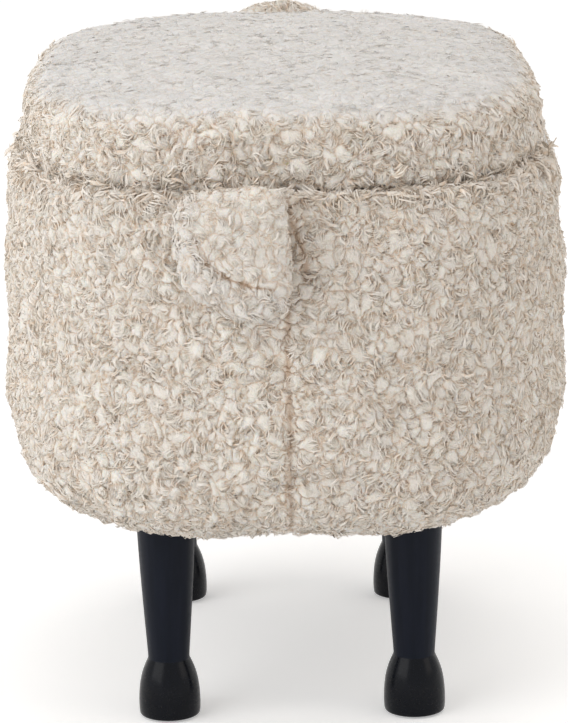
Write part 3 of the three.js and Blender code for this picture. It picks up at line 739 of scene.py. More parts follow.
curl = {
    "fibres": 10,
    "steps": 3,
    "fan": 84,  # degrees from the middle fibre to the outermost
    "rise": 0.5 * mm,  # how deep the root stands in the skin
    "fibreWidth": 0.62 * mm,
    "swell": (0.4, 1.0, 0.95, 0.5),  # radius of the tuft from root to tip, as a share of the widest
    "taper": (1.0, 1.0, 0.8, 0.3),  # width of a fibre
    "above": 1.5 * mm,  # height over the skin at which a fibre follows the rises of the skin
    "kinds": [
        # length, width, thickness share, lean, bend and sideways turn in degrees
        (9.0 * mm, 6.2 * mm, 0.3, 58, 58, 70),
        (8.2 * mm, 6.8 * mm, 0.28, 62, 52, -80),
        (10.0 * mm, 5.4 * mm, 0.3, 56, 62, 130),
        (7.5 * mm, 6.0 * mm, 0.32, 52, 72, -50),
        (10.0 * mm, 5.0 * mm, 0.34, 56, 62, -150),
        (6.8 * mm, 5.4 * mm, 0.4, 44, 92, 40),
    ],
}


def makeLock(name, kind):  # a tuft of flat fibres
    length, width, thin, lean, bend, sideways = kind
    steps, count = curl["steps"], curl["fibres"]
    chance = random.Random(name)
    bm = bmesh.new()
    strand = bm.verts.layers.float_vector.new("strand")
    bakeMap = bm.loops.layers.uv.new("OFBake")
    for index in range(count):
        fan = math.radians(curl["fan"]) * (2 * index / (count - 1) - 1) + chance.uniform(-0.2, 0.2)
        reach = length * chance.uniform(0.7, 1.15)
        bulge = chance.uniform(0.6, 1.15)
        heading, yaw = math.radians(lean), math.radians(chance.uniform(-22, 22))
        place = Vector((0, 0, -curl["rise"]))
        edge = None
        for step in range(steps + 1):
            ahead = Vector((
                math.sin(heading) * math.cos(yaw), math.sin(heading) * math.sin(yaw), math.cos(heading)))
            outward = Vector((
                -math.cos(heading) * math.cos(yaw), -math.cos(heading) * math.sin(yaw), math.sin(heading)))
            aside = outward.cross(ahead)
            if step:
                place = place + ahead * reach / steps
            radius = width / 2 * curl["swell"][step] * bulge
            middle = place + radius * (math.sin(fan) * aside + math.cos(fan) * thin * outward)
            half = (math.cos(fan) * aside - math.sin(fan) * outward) * curl["fibreWidth"] / 2
            half *= curl["taper"][step]
            if edge:
                grown = bmesh.ops.extrude_edge_only(bm, edges=[edge])["geom"]
                edge = next(e for e in grown if isinstance(e, bmesh.types.BMEdge))
                ends = sorted(edge.verts, key=lambda v: v[strand].x)
            else:
                ends = [bm.verts.new(middle), bm.verts.new(middle)]
                edge = bm.edges.new(ends)
            for side, vertex in zip((0, 1), ends):
                vertex.co = middle + half * (2 * side - 1)
                vertex[strand] = Vector((index + 0.9 * side, 0, step / steps))
            heading += math.radians(bend) / steps
            yaw += math.radians(sideways) / steps
    bmesh.ops.recalc_face_normals(bm, faces=bm.faces)
    for face in bm.faces:
        face.smooth = True
        for loop in face.loops:
            point = loop.vert[strand]
            loop[bakeMap].uv = ((point.x + 0.05) / count, point.z)
    mesh = bpy.data.meshes.new(name)
    bm.to_mesh(mesh)
    bm.free()
    mesh.materials.append(woolCurls)
    return bpy.data.objects.new(name, mesh)


def scatterGroup(name, locks, settings):
    tree, given, out, place = geometryTree(name)

    def chance(low, high, seed, kind="FLOAT"):
        return result(node(tree, "FunctionNodeRandomValue", {"data_type": kind}, {
            "Min": low, "Max": high, "Seed": settings["seed"] + seed}))

    points = node(tree, "GeometryNodeDistributePointsOnFaces", {"distribute_method": "POISSON"}, {
        "Mesh": given, "Distance Min": settings["spacing"], "Density Max": settings["density"],
        "Density Factor": stored(tree, "pileDensity"), "Seed": settings["seed"]})
    marked = node(tree, "GeometryNodeStoreNamedAttribute", {"data_type": "FLOAT_VECTOR", "domain": "POINT"}, {
        "Geometry": points.outputs["Points"], "Name": "skinUp", "Value": points.outputs["Normal"]})
    drift = node(tree, "ShaderNodeTexNoise", inputs={
        "Vector": place, "Scale": settings["drift"], "Detail": 1.0})
    wander = vectorMath(tree, "SUBTRACT", drift.outputs["Color"], (0.5, 0.5, 0.5))
    lie = vectorMath(tree, "MULTIPLY_ADD", wander, (settings["wander"],) * 3, settings["lie"])
    upright = node(tree, "FunctionNodeAlignRotationToVector", {"axis": "Z"}, {
        "Vector": points.outputs["Normal"]})
    laid = node(tree, "FunctionNodeAlignRotationToVector", {"axis": "X", "pivot_axis": "Z"}, {
        "Rotation": upright.outputs[0], "Vector": lie})
    spin = node(tree, "ShaderNodeCombineXYZ", inputs={
        "X": chance(-0.25, 0.25, 1), "Y": chance(-0.3, 0.2, 2),
        "Z": chance(-settings["spin"], settings["spin"], 3)})
    turn = node(tree, "FunctionNodeRotateRotation", {"rotation_space": "LOCAL"}, {
        "Rotation": laid.outputs[0],
        "Rotate By": node(tree, "FunctionNodeEulerToRotation", inputs={"Euler": spin.outputs[0]}).outputs[0]})
    size = times(tree, stored(tree, "pileLength"), chance(0.78, 1.22, 4))
    lift = times(tree, size, stored(tree, "pileLift"))
    scale = node(tree, "ShaderNodeCombineXYZ", inputs={"X": size, "Y": size, "Z": lift})
    source = node(tree, "GeometryNodeCollectionInfo", inputs={
        "Collection": locks, "Separate Children": True, "Reset Children": True})
    planted = node(tree, "GeometryNodeInstanceOnPoints", inputs={
        "Points": marked.outputs[0], "Instance": source.outputs[0], "Pick Instance": True,
        "Instance Index": chance(0, len(curl["kinds"]) - 1, 5, "INT"),
        "Rotation": turn.outputs[0], "Scale": scale.outputs[0]})
    tinted = node(tree, "GeometryNodeStoreNamedAttribute", {"data_type": "FLOAT", "domain": "INSTANCE"}, {
        "Geometry": planted.outputs[0], "Name": "lockTint", "Value": chance(0.0, 1.0, 6)})
    numbered = node(tree, "GeometryNodeStoreNamedAttribute", {"data_type": "FLOAT", "domain": "INSTANCE"}, {
        "Geometry": tinted.outputs[0], "Name": "cell",
        "Value": tree.nodes.new("GeometryNodeInputIndex").outputs[0]})
    realized = node(tree, "GeometryNodeRealizeInstances", inputs={"Geometry": numbered.outputs[0]})
    up = stored(tree, "skinUp", "FLOAT_VECTOR")
    below = vectorMath(tree, "MULTIPLY_ADD", up, (-curl["above"],) * 3, place)
    raised = raisedByTufts(tree, realized.outputs[0], below, up)
    count = node(tree, "GeometryNodeAttributeDomainSize", {"component": "POINTCLOUD"}, {
        "Geometry": points.outputs["Points"]})
    rows = calculate(tree, "CEIL", calculate(tree, "SQRT", count.outputs["Point Count"]))
    row = calculate(tree, "FLOOR", calculate(tree, "DIVIDE", stored(tree, "cell"), rows))
    column = minus(tree, stored(tree, "cell"), times(tree, row, rows))
    flat = stored(tree, "OFBake", "FLOAT_VECTOR")
    corner = []
    for start, axis in ((column, "X"), (row, "Y")):
        # in from the edge of its cell in the map
        share = calculate(tree, "MULTIPLY_ADD", partOf(tree, flat, axis), 0.84, third=0.08)
        corner.append(calculate(tree, "DIVIDE", plus(tree, start, share), rows))
    mapped = node(tree, "GeometryNodeStoreNamedAttribute", {"data_type": "FLOAT2", "domain": "CORNER"}, {
        "Geometry": raised, "Name": "OFBake",
        "Value": node(tree, "ShaderNodeCombineXYZ", inputs={"X": corner[0], "Y": corner[1]}).outputs[0]})
    tree.links.new(mapped.outputs[0], out)
    return tree


lockSources = bpy.data.collections.new("locks")
for index, kind in enumerate(curl["kinds"]):
    lockSources.objects.link(makeLock(f"lock{index}", kind))


def growCurls(name, skin, settings, body, cadName):
    piece = addPiece(name, skin.data.copy())
    modify(piece, "NODES", node_group=scatterGroup(name, lockSources, settings))
    settle(piece)
    forget(piece, "pileLength", "pileLift", "pileDensity", "cell", "skinUp")
    dress(piece, woolCurls, "wool", body, cadName, fill=0.7)
    print(name, "has", len(piece.data.polygons), "faces")


# Body cover: wool cloth over the foam, with a centre back seam, open over the storage box

bodyWool = {
    "voxel": 5.8 * mm,
    "pile": 4.2 * mm,
    "pressure": 4,
    "frames": 20,
    "cap": 3 * mm,
    "stripInset": 37 * mm,
    "bottomInset": 78 * mm,
    "turnedEdge": 2 * mm,
    "seamX": 1 * mm,
    "seamWander": 1.3 * mm,
    "seamWidth": 4.5 * mm,
    "seamDepth": 1.8 * mm,
    "fineReach": 9 * mm,  # of the finer mesh on each side of a seam
    "lowBulge": (8.5 * mm, 6 * mm),  # left and right
    "shoulder": 4 * mm,
    "legRoom": 21 * mm,
    "openInset": 19 * mm,  # inside it the top is bare, under the lid
    "fringe": 0.35,  # how much longer the fibres are along the parting line
    "tailGapShade": (-62 * mm, -46 * mm, 10 * mm, 24 * mm),  # x where the painted shade in the gap over the tail starts and ends
    "tailFoldShadow": [(1, 344), (4, 331), (9, 318), (12, 306), (12, 298)],  # x and height in mm of the line beside the tail's right edge, where the pile parts and a painted shadow of the tail lies
    "spacing": 3.8 * mm,
    "density": 120000.0,
    "seed": 11,
    "drift": 22.0,
    "wander": 5.0,
    "lie": (0, 0, -0.7),
    "spin": 0.9,
}
legPlaces = []
for corner in ("tail_left", "tail_right", "head_left", "head_right"):
    low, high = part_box(f"leg_{corner}")
    legPlaces.append((corner, (low.x + high.x) / 2, (low.y + high.y) / 2))


def nearLeg(point):
    return min(math.hypot(point.x - x, point.y - y) for _, x, y in legPlaces)


def hingeShare(point):  # 0 at the hinge line, 1 well away from it
    across = bodyHigh.x - point.x
    up = abs(point.z - bodyHigh.z)
    return smoothStep(5 * mm, 20 * mm, math.hypot(across, up))


def seamGap(point):
    wander = bodyWool["seamWander"] * lumps(Vector((0, 0, point.z)), 21 * mm, 4.4)
    return abs(point.x - bodyWool["seamX"] - wander)


def bodyPile(point, normal):
    seam = seamGap(point) if normal.y < -0.3 else 1
    length = 0.96 + bodyWool["fringe"] * (1 - smoothStep(3 * mm, 12 * mm, bodyHigh.z - point.z))
    length *= 0.6 + 0.4 * hingeShare(point)
    length *= 0.75 + 0.25 * smoothStep(2 * mm, 8 * mm, seam)
    density = smoothStep(0.7 * mm, 2.6 * mm, seam)
    depth = bodyHigh.z - point.z
    # painted shade in the seam's crease, of uneven strength
    creaseShade = math.exp(-(seam / (2.0 * mm)) ** 2) * smoothStep(-2 * mm, 6 * mm, depth)
    creaseShade *= 0.7 + 0.4 * lumps(point, 9 * mm, 8.8)
    # faint painted shade along the parting line under the lid
    creaseShade = max(creaseShade, 0.05 * (1 - smoothStep(1 * mm, 7 * mm, depth)))
    if normal.y < -0.3:
        fold = gapTo(bodyWool["tailFoldShadow"], point)
        # painted shadow of the tail on the body beside its right edge
        creaseShade = max(creaseShade, 0.8 * math.exp(-(fold / (2.0 * mm)) ** 2))
        density = min(density, smoothStep(1 * mm, 2.4 * mm, fold))
        start, full, fading, end = bodyWool["tailGapShade"]
        behind = smoothStep(start, full, point.x) - smoothStep(fading, end, point.x)
        # painted shade in the gap over the tail, under the lid
        creaseShade = max(creaseShade, 0.35 * behind * (1 - smoothStep(2 * mm, 8 * mm, depth)))
    if point.z > bodyHigh.z - 1 * mm and outlineReach(point.x, point.y, bodyWool["openInset"]) < 1:
        density = 0
        length = 0
    if nearLeg(point) < bodyWool["legRoom"] and point.z < bodyLow.z + 12 * mm:
        density = 0
    if normal.z < -0.9 and outlineReach(point.x, point.y, bodyWool["bottomInset"]) < 1.05:
        density = 0
    return length, 1.0, density, 0.0, creaseShade


def makeBodyCover():
    piece = skinOf("body_fleece", ["body_cover"], bodyWool["voxel"], hull=True)
    sinkSkin(piece, bodyWool["pile"], 1)
    inflate(piece, bodyWool)

    def atSeam(point):
        if point.y > bodyMiddle.y - halfLength * 0.6:
            return False
        return min(seamGap(point), gapTo(bodyWool["tailFoldShadow"], point)) < bodyWool["fineReach"]

    def shape(bm):
        refine(bm, atSeam)
        refine(bm, atSeam)
        bm.normal_update()
        for vertex in bm.verts:
            point = vertex.co
            move = 1.0 * mm * lumps(point, 55 * mm, 3.1)
            above = point.z - bodyLow.z
            low = smoothStep(0, 22 * mm, above) * (1 - smoothStep(45 * mm, 110 * mm, above))
            move += bodyWool["lowBulge"][int(point.x > 0)] * low * max(0, 1 - abs(vertex.normal.z))
            move += bodyWool["shoulder"] * (1 - smoothStep(8 * mm, 55 * mm, bodyHigh.z - point.z))
            if vertex.normal.y < -0.3:
                seam = seamGap(point) / bodyWool["seamWidth"]
                move -= bodyWool["seamDepth"] * math.exp(-seam * seam * 2)
            if vertex.normal.z < 0.7:
                vertex.co = point + vertex.normal * move
            if vertex.co.z > bodyHigh.z - 3 * mm:
                vertex.co.z = bodyHigh.z
        bottom = min(vertex.co.z for vertex in bm.verts)
        openSkin(bm, bodyWool["stripInset"], bodyHigh.z, -bodyWool["turnedEdge"])
        openSkin(bm, bodyWool["bottomInset"], bottom, bodyWool["turnedEdge"])

    editMesh(piece, shape)
    markPile(piece, bodyPile)
    growCurls("body_curls", piece, bodyWool, "stool", "body_cover")
    raiseTufts(piece, 2)
    dress(piece, woolFleece, "wool", "stool", "body_cover", fill=0.7)


makeBodyCover()
print("body cover made")


# Seat lid cover

lidWool = {
    "voxel": 5.8 * mm,
    "pile": 2.4 * mm,
    "pressure": 4,
    "frames": 20,
    "cap": 3 * mm,
    "turnedEdge": 2 * mm,
    "spacing": 3.8 * mm,
    "density": 120000.0,
    "seed": 29,
    "crown": 1.6 * mm,
    "lip": 1.8 * mm,
    "hingeLip": 1.9,  # how much wider the lip is over the hinges, as a share
    "hingeSide": (105 * mm, 140 * mm),  # x from which it widens, and where it is widest
    "fringe": 0.4,
    "droop": 2 * mm,  # how far the soft lower edge hangs over the body
    "rim": (2.4 * mm, 0.8 * mm),  # left and right
    "drift": 22.0,
    "wander": 5.0,
    "lie": (0, 0, -0.5),
    "spin": 0.9,
}


def lidPile(point, normal):
    seat = smoothStep(0.62, 0.98, normal.z)
    length = 1.0 - 0.2 * seat + lidWool["fringe"] * (1 - smoothStep(3 * mm, 12 * mm, point.z - lidLow.z))
    away = math.hypot(bodyHigh.x - point.x, point.z - lidLow.z)
    length *= 0.6 + 0.4 * smoothStep(5 * mm, 20 * mm, away)
    # faint painted shade along the lid's lower edge at the parting line
    creaseShade = 0.08 * (1 - smoothStep(0, 6 * mm, point.z - lidLow.z))
    density = 0 if normal.z < -0.95 else 1 - 0.7 * seat
    # the seat's upward-facing top takes the painted cool top light as its tone
    return length, 1 - 0.65 * seat, density, seat, creaseShade


def makeLidCover():
    piece = skinOf("lid_fleece", ["lid_cover"], lidWool["voxel"], hull=True)
    sinkSkin(piece, lidWool["pile"], -1)
    inflate(piece, lidWool)

    def shape(bm):
        bm.normal_update()
        for vertex in bm.verts:
            point = vertex.co
            if vertex.normal.z > -0.7:
                crown = smoothStep(0.15, 0.6, vertex.normal.z)
                rim = crown * (1 - smoothStep(0.93, 0.995, vertex.normal.z))
                rise = 1.2 * mm * lumps(point, 50 * mm, 7.7) + lidWool["crown"] * crown
                rise += lidWool["rim"][int(point.x > 0)] * rim
                lip = 1 - smoothStep(3 * mm, 15 * mm, point.z - lidLow.z)
                lip *= 1 + lidWool["hingeLip"] * smoothStep(*lidWool["hingeSide"], point.x)
                rise += lidWool["lip"] * lip * (1 - abs(vertex.normal.z))
                vertex.co = point + vertex.normal * rise
            if vertex.co.z < lidLow.z + 3 * mm:
                edge = smoothStep(0.97, 1.03, outlineReach(vertex.co.x, vertex.co.y, bodyWool["openInset"]))
                vertex.co.z = lidLow.z - lidWool["droop"] * edge
        openSkin(bm, bodyWool["stripInset"], lidLow.z, lidWool["turnedEdge"])

    editMesh(piece, shape)
    markPile(piece, lidPile)
    growCurls("lid_curls", piece, lidWool, "lid", "lid_cover")
    raiseTufts(piece, 2)
    dress(piece, woolFleece, "wool", "lid", "lid_cover", fill=0.8)


makeLidCover()
print("lid cover made")


# Tail: a stuffed leaf of wool with a seam inside its fluffy border

tailWool = {
    "voxel": 3.5 * mm,
    "pile": 2.6 * mm,
    "pressure": 4,
    "frames": 16,
    "cap": 2 * mm,
    "spacing": 3.5 * mm,
    "density": 140000.0,
    "seed": 41,
    "drift": 40.0,
    "wander": 3.0,
    "lie": (0.9, 0, 0.4),
    "spin": 0.5,
    # x and height in mm
    "seam": [(-52, 328), (-48, 316.5), (-43, 309.6), (-31, 302.7), (-19.7, 298.6), (-8, 296.3)],
    "seamWidth": 2.2 * mm,
    "seamDepth": 1.8 * mm,
    "topRise": 11 * mm,  # how far the fluff stands over the sewn edge
}


def tailBorder(point):  # 1 in the fluffy border outside the seam
    line = tailWool["seam"]
    x, z = point.x / mm, point.z / mm
    height = line[-1][1]
    for start, end in zip(line, line[1:]):
        if start[0] <= x <= end[0]:
            height = start[1] + (end[1] - start[1]) * (x - start[0]) / (end[0] - start[0])
    if x < line[0][0]:
        return 1
    return 1 - smoothStep(-1, 2, z - height)


def tailPile(point, normal):
    gap = gapTo(tailWool["seam"], point)
    front = normal.y < 0.2
    density = smoothStep(0.6 * mm, 1.8 * mm, gap) if front else 0.0
    if normal.y > 0.6:
        density = 0
    elif not front:
        density = 1
    # painted shade in the tail's seam
    creaseShade = math.exp(-(gap / (0.9 * mm)) ** 2) if front else 0
    border = tailBorder(point)
    density *= 1 - 0.25 * border
    return 0.66 + 0.3 * border, 0.95 - 0.1 * border, density, 0.1 + 0.25 * border, creaseShade


def makeTail():
    piece = skinOf("tail_fleece", ["tail_cover", "tail_filling"], tailWool["voxel"])
    sinkSkin(piece, tailWool["pile"])
    inflate(piece, tailWool)

    def shape(bm):
        top = max(vertex.co.z for vertex in bm.verts)
        for vertex in bm.verts:
            vertex.co.z += tailWool["topRise"] * smoothStep(30 * mm, 0, top - vertex.co.z)
        for _ in range(2):
            refine(bm, lambda point: gapTo(tailWool["seam"], point) < 6 * mm)
        bm.normal_update()
        for vertex in bm.verts:
            if vertex.normal.y < 0:
                gap = gapTo(tailWool["seam"], vertex.co) / tailWool["seamWidth"]
                vertex.co += vertex.normal * -tailWool["seamDepth"] * math.exp(-gap * gap * 2)

    editMesh(piece, shape)
    markPile(piece, tailPile)
    growCurls("tail_curls", piece, tailWool, "stool", "tail_cover")
    raiseTufts(piece, 1)
    dress(piece, woolFleece, "wool", "stool", "tail_cover", "tail_filling", fill=0.8)


makeTail()
print("tail made")


# Head: a stuffed face of dark short nap, a wool hood, ears and eyes

head = {
    "voxel": 4 * mm,
    "tilt": 24,
    "startHeight": 321 * mm,
    "hoodReach": 47 * mm,
    "hoodLift": 5 * mm,
    "poll": 13 * mm,  # how much fuller the wool is at the top of the head
    "pressure": 4,
    "frames": 16,
    "cap": 2 * mm,
    "faceSink": 1.5 * mm,
}
hoodWool = {
    "spacing": 4.0 * mm,
    "density": 120000.0,
    "seed": 53,
    "drift": 24.0,
    "wander": 4.0,
    "lie": (0, -0.3, 0.3),
    "spin": 0.9,
}
headAxis = Matrix.Rotation(math.radians(-head["tilt"]), 3, "X") @ Vector((0, 1, 0))
headStart = Vector((0, bodyHigh.y, head["startHeight"]))


def alongHead(point):
    return (point - headStart).dot(headAxis)


def hoodPile(point, normal):
    along = alongHead(point)
    length = 0.95 - 0.25 * smoothStep(head["hoodReach"] - 18 * mm, head["hoodReach"], along)
    inBody = point.y < bodyHigh.y - 3 * mm and normal.y < 0.2 and along < -12 * mm
    return length, 1.0, 0 if inBody else 1, 0.1, 0


def makeHead():
    face = skinOf("head_face", ["head_cover", "head_filling"], head["voxel"])
    sinkSkin(face, head["faceSink"])
    inflate(face, head)
    hood = addPiece("head_fleece", face.data.copy())

    def shapeHood(bm):
        bmesh.ops.bisect_plane(
            bm, geom=bm.verts[:] + bm.edges[:] + bm.faces[:], dist=0.01 * mm,
            plane_co=headStart + headAxis * head["hoodReach"], plane_no=headAxis, clear_outer=True)
        bm.normal_update()
        for vertex in bm.verts:
            rise = head["hoodLift"] * math.sqrt(1 - smoothStep(
                head["hoodReach"] - 14 * mm, head["hoodReach"], alongHead(vertex.co)))
            vertex.co += vertex.normal * rise
            across = 1 - smoothStep(36 * mm, 62 * mm, abs(vertex.co.x + 12 * mm))
            along = 1 - smoothStep(24 * mm, 46 * mm, vertex.co.y - bodyHigh.y)
            vertex.co.z += head["poll"] * across * along * max(0, vertex.normal.z)

    editMesh(hood, shapeHood)
    markPile(hood, hoodPile)
    growCurls("head_curls", hood, hoodWool, "stool", "head_hood")
    raiseTufts(hood, 1)
    dress(hood, woolFleece, "wool", "stool", "head_hood", fill=0.8)
    soften(face, 1)
    dress(face, faceCloth, "face_cloth", "stool", "head_cover", "head_filling", fill=0.9)
    for side in ("left", "right"):
        ear = skinOf(f"stuffed_ear_{side}", [f"ear_{side}"], 3 * mm)
        sinkSkin(ear, 0.8 * mm)
        inflate(ear, head)
        soften(ear, 1)
        dress(ear, faceCloth, "face_cloth", "stool", f"ear_{side}", fill=0.6)
        eye = smoothCopy(f"glossy_eye_{side}", f"eye_{side}")
        dress(eye, eyeGloss, "eye_plastic", "stool", f"eye_{side}")


def smoothCopy(name, cadName):  # a rounder copy of a CAD node
    bm = bmesh.new()
    bm.from_mesh(cadNodes[cadName].data)
    bmesh.ops.remove_doubles(bm, verts=bm.verts, dist=0.01 * mm)
    bmesh.ops.dissolve_limit(bm, angle_limit=math.radians(1), verts=bm.verts[:], edges=bm.edges[:])
    piece = pieceFrom(name, bm)
    soften(piece, 2)
    return piece


makeHead()
print("head made")


# Legs: turned and painted, on felt pads

leg = {
    "steps": 48,
    # radius and height in mm, from the pad up
    "outline": [
        (11.3, 1.3), (17.6, 1.3), (18.4, 1.5), (18.9, 2.6), (19.2, 8.0), (19.0, 15.0), (18.2, 22.5),
        (16.6, 29.0), (14.6, 33.8), (13.1, 37.0), (12.8, 37.8), (12.9, 39.0), (13.1, 43.0), (13.8, 52.0),
        (15.1, 71.0), (16.5, 92.0), (17.6, 113.0), (18.2, 128.0), (18.3, 136.7),
    ],
    "padRadius": 11 * mm,
    "padTop": 3 * mm,
}


def turn(name, outline, x, y):
    bm = bmesh.new()
    chain = [bm.verts.new((x + radius * mm, y, z * mm)) for radius, z in outline]
    edges = [bm.edges.new(pair) for pair in zip(chain, chain[1:])]
    bmesh.ops.spin(
        bm, geom=chain + edges, cent=(x, y, 0), axis=(0, 0, 1), dvec=(0, 0, 0),
        angle=2 * math.pi, steps=leg["steps"], use_merge=True)
    bmesh.ops.remove_doubles(bm, verts=bm.verts, dist=0.01 * mm)
    bmesh.ops.holes_fill(bm, edges=[e for e in bm.edges if e.is_boundary], sides=0)
    bmesh.ops.recalc_face_normals(bm, faces=bm.faces)
    return pieceFrom(name, bm)


def makeLegs():
    for corner, x, y in legPlaces:
        piece = turn(f"turned_leg_{corner}", leg["outline"], x, y)
        soften(piece, 1)
        dress(piece, blackPaint, "black_paint", "stool", f"leg_{corner}")
        bm = bmesh.new()
        bmesh.ops.create_cone(
            bm, cap_ends=True, segments=leg["steps"], radius1=leg["padRadius"], radius2=leg["padRadius"],
            depth=leg["padTop"], matrix=Matrix.Translation((x, y, leg["padTop"] / 2)))
        rims = [e for e in bm.edges if len(e.link_faces) == 2 and e.calc_face_angle() > 1]
        bmesh.ops.bevel(
            bm, geom=rims, offset=0.5 * mm, offset_type="OFFSET", segments=2, profile=0.5,
            affect="EDGES", material=-1)
        pad = pieceFrom(f"felt_pad_{corner}", bm)
        dress(pad, feltCloth, "felt", "stool", f"foot_pad_{corner}")


makeLegs()
print("legs made")


# Cloth inside and underneath

sheets = {
    "thickness": 0.8 * mm,
    "cell": 5 * mm,
    "liningInset": 38.5 * mm,
    "dustInset": 79.5 * mm,
    "legHole": 19.5 * mm,  # radius
    "corner": 5 * mm,
    "slack": 1.6 * mm,  # how far the bag stands off the walls in soft folds
    "flangeRings": 6,
}


def flatSheet(name, inset, height, isHole, ripple):  # cloth cut to the padded outline, with holes
    bm = bmesh.new()
    across, along = halfWidth - inset, halfLength - inset
    columns, rows = round(2 * across / sheets["cell"]), round(2 * along / sheets["cell"])
    place = Matrix.Translation((0, bodyMiddle.y, height)) @ Matrix.Diagonal((across, along, 1, 1))
    bmesh.ops.create_grid(bm, x_segments=columns, y_segments=rows, size=1, matrix=place)

    def spare(face):
        middle = face.calc_center_median()
        return outlineReach(middle.x, middle.y, inset) > 1 or isHole(middle)
    bmesh.ops.delete(bm, geom=[face for face in bm.faces if spare(face)], context="FACES")
    edge = {v for e in bm.edges if e.is_boundary for v in e.verts}
    for vertex in edge:
        if outlineReach(vertex.co.x, vertex.co.y, inset) > 0.93:
            vertex.co.x, vertex.co.y = onOutline(vertex.co.x, vertex.co.y, inset)
    for vertex in bm.verts:
        vertex.co.z += ripple * (0.5 + 0.5 * lumps(vertex.co, 38 * mm, 2.2))
    bmesh.ops.recalc_face_normals(bm, faces=bm.faces)
    piece = pieceFrom(name, bm)
    modify(piece, "SUBSURF", levels=1, render_levels=1)
    modify(piece, "SOLIDIFY", thickness=sheets["thickness"], offset=0)
    settle(piece)
    return piece


hingeBoxes = [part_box(f"hinge_{index}_rim_leaf") for index in (1, 2)]


def inHinge(point):
    for low, high in hingeBoxes:
        if low.x - 1 * mm < point.x and low.y - 2 * mm < point.y < high.y + 4 * mm:
            return True
    return False


def makeLidLining():
    low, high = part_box("lid_lining")
    piece = flatSheet(
        "seat_underside_cloth", sheets["liningInset"], (low.z + high.z) / 2, inHinge, 0.3 * mm)
    dress(piece, blackLining, "black_cloth", "lid", "lid_lining")


def makeDustCover():
    low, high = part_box("dust_cover")
    piece = flatSheet(
        "base_cloth", sheets["dustInset"], low.z,
        lambda point: nearLeg(point) < sheets["legHole"], -0.6 * mm)
    dress(piece, blackLining, "black_cloth", "stool", "dust_cover")


def makeStorageLining():
    low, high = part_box("storage_lining")
    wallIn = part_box("right_wall")[0].x - 0.8 * mm
    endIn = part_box("head_wall")[0].y - 0.8 * mm
    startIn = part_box("tail_wall")[1].y + 0.8 * mm
    middle = Vector((0, (startIn + endIn) / 2, (low.z + high.z) / 2))
    bm = bmesh.new()
    size = Matrix.Diagonal((2 * wallIn, endIn - startIn, high.z - low.z, 1))
    bmesh.ops.create_cube(bm, size=1, matrix=Matrix.Translation(middle) @ size)
    top = [face for face in bm.faces if face.normal.z > 0.9]
    bmesh.ops.delete(bm, geom=top, context="FACES_ONLY")
    corners = [e for e in bm.edges if not e.is_boundary]
    bmesh.ops.bevel(
        bm, geom=corners, offset=sheets["corner"], offset_type="OFFSET", segments=3, profile=0.5,
        affect="EDGES", material=-1)
    longEdges = [e for e in bm.edges if e.calc_length() > 40 * mm]
    bmesh.ops.subdivide_edges(bm, edges=longEdges, cuts=30, use_grid_fill=True)
    rim = [e for e in bm.edges if e.is_boundary]
    for ring in range(sheets["flangeRings"]):
        grown = bmesh.ops.extrude_edge_only(bm, edges=rim)
        fresh = [v for v in grown["geom"] if isinstance(v, bmesh.types.BMVert)]
        for vertex in fresh:
            x, y = onOutline(vertex.co.x, vertex.co.y, sheets["liningInset"])
            share = 1 / (sheets["flangeRings"] - ring)
            vertex.co.x += (x - vertex.co.x) * share
            vertex.co.y += (y - vertex.co.y) * share
        rim = [e for e in bm.edges if e.is_boundary]
    for vertex in bm.verts:
        if inHinge(vertex.co):
            vertex.co.x = hingeBoxes[0][0].x - 1 * mm
    area = sum(face.calc_area() for face in bm.faces)
    for vertex in bm.verts:
        if vertex.co.z < high.z - 2 * mm:
            inward = Vector((-vertex.co.x, middle.y - vertex.co.y, 0)).normalized()
            vertex.co += inward * sheets["slack"] * (0.5 + 0.5 * lumps(vertex.co, 60 * mm, 5.5))
    bmesh.ops.recalc_face_normals(bm, faces=bm.faces)
    piece = pieceFrom("storage_bag", bm)
    modify(piece, "SOLIDIFY", thickness=sheets["thickness"], offset=0)
    settle(piece)
    dress(piece, blackLining, "black_cloth", "stool", "storage_lining")


makeLidLining()
makeDustCover()
makeStorageLining()
print("linings made")


# Finishes of the solids that stay

for name, cadNode in cadNodes.items():
    finish = None
    if name.endswith(("_board", "_wall", "_frame")):
        finish = plywood
    elif name.startswith(("hinge_", "leg_bolt", "tee_nut")):
        finish = platedSteel
    elif name.endswith("_foam"):
        finish = foam
    elif name.endswith("_filling"):
        finish = stuffing
    elif name.startswith("eye_washer"):
        finish = eyeGloss
    if finish:
        cadNode.data.materials.clear()
        cadNode.data.materials.append(finish)


# Floor, backdrop and lights

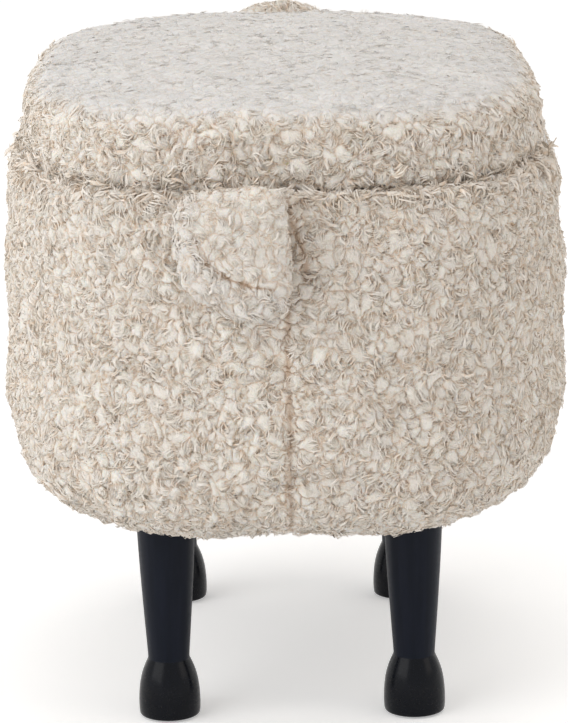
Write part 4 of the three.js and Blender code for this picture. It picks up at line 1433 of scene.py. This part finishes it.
studio = {
    "floorSize": 12,
    "floorColour": (0.9, 0.9, 0.9),
    "floorGlow": 0.35,
    "skyStrength": 0.67,
    "skyColour": (1.0, 0.978, 0.952),
    "lights": [
        # place, size in metres, power in watts, colour
        ((-2.4, -1.8, 1.7), 2.8, 46, (0.98, 0.985, 0.99)),
        ((2.6, -1.2, 1.2), 1.4, 7, (1.0, 0.91, 0.82)),
        ((0.2, 0.6, 2.6), 1.8, 11, (1.0, 0.99, 0.98)),
    ],
}


def makeStudio():
    bm = bmesh.new()
    bmesh.ops.create_grid(bm, x_segments=1, y_segments=1, size=studio["floorSize"] / 2)
    floor = pieceFrom("floor", bm)
    material, tree, shader = newMaterial("floor", {"Roughness": 0.9})
    shader.inputs["Base Color"].default_value = (*studio["floorColour"], 1)
    rays = tree.nodes.new("ShaderNodeLightPath")
    seen = calculate(tree, "MAXIMUM", rays.outputs["Is Camera Ray"], rays.outputs["Is Glossy Ray"])
    shader.inputs["Emission Color"].default_value = (1, 1, 1, 1)
    tree.links.new(times(tree, seen, studio["floorGlow"]), shader.inputs["Emission Strength"])
    floor.data.materials.append(material)

    world = bpy.data.worlds.new("world")
    world.use_nodes = True
    scene.world = world
    sky = world.node_tree
    paths = sky.nodes.new("ShaderNodeLightPath")
    shown = calculate(sky, "MAXIMUM", paths.outputs["Is Camera Ray"], paths.outputs["Is Glossy Ray"])
    shown = calculate(sky, "MAXIMUM", shown, paths.outputs["Is Transmission Ray"])
    strength = stretch(sky, shown, 0, 1, studio["skyStrength"], 1.0)
    background = sky.nodes["Background"]
    tinted = blendColour(sky, shown, studio["skyColour"], (1.0, 1.0, 1.0))
    sky.links.new(tinted, background.inputs["Color"])
    sky.links.new(strength, background.inputs["Strength"])

    for place, size, power, colour in studio["lights"]:
        data = bpy.data.lights.new("softbox", "AREA")
        data.shape = "SQUARE"
        data.size = size
        data.energy = power
        data.color = colour
        lamp = bpy.data.objects.new("softbox", data)
        aim = Vector((0, bodyMiddle.y, 0.25)) - Vector(place)
        lamp.matrix_world = Matrix.Translation(place) @ aim.to_track_quat("-Z", "Y").to_matrix().to_4x4()
        scene.collection.objects.link(lamp)


makeStudio()
scene.view_settings.view_transform = "Standard"
print("studio made")

for source in list(lockSources.objects):
    bpy.data.objects.remove(source)
bpy.data.collections.remove(lockSources)
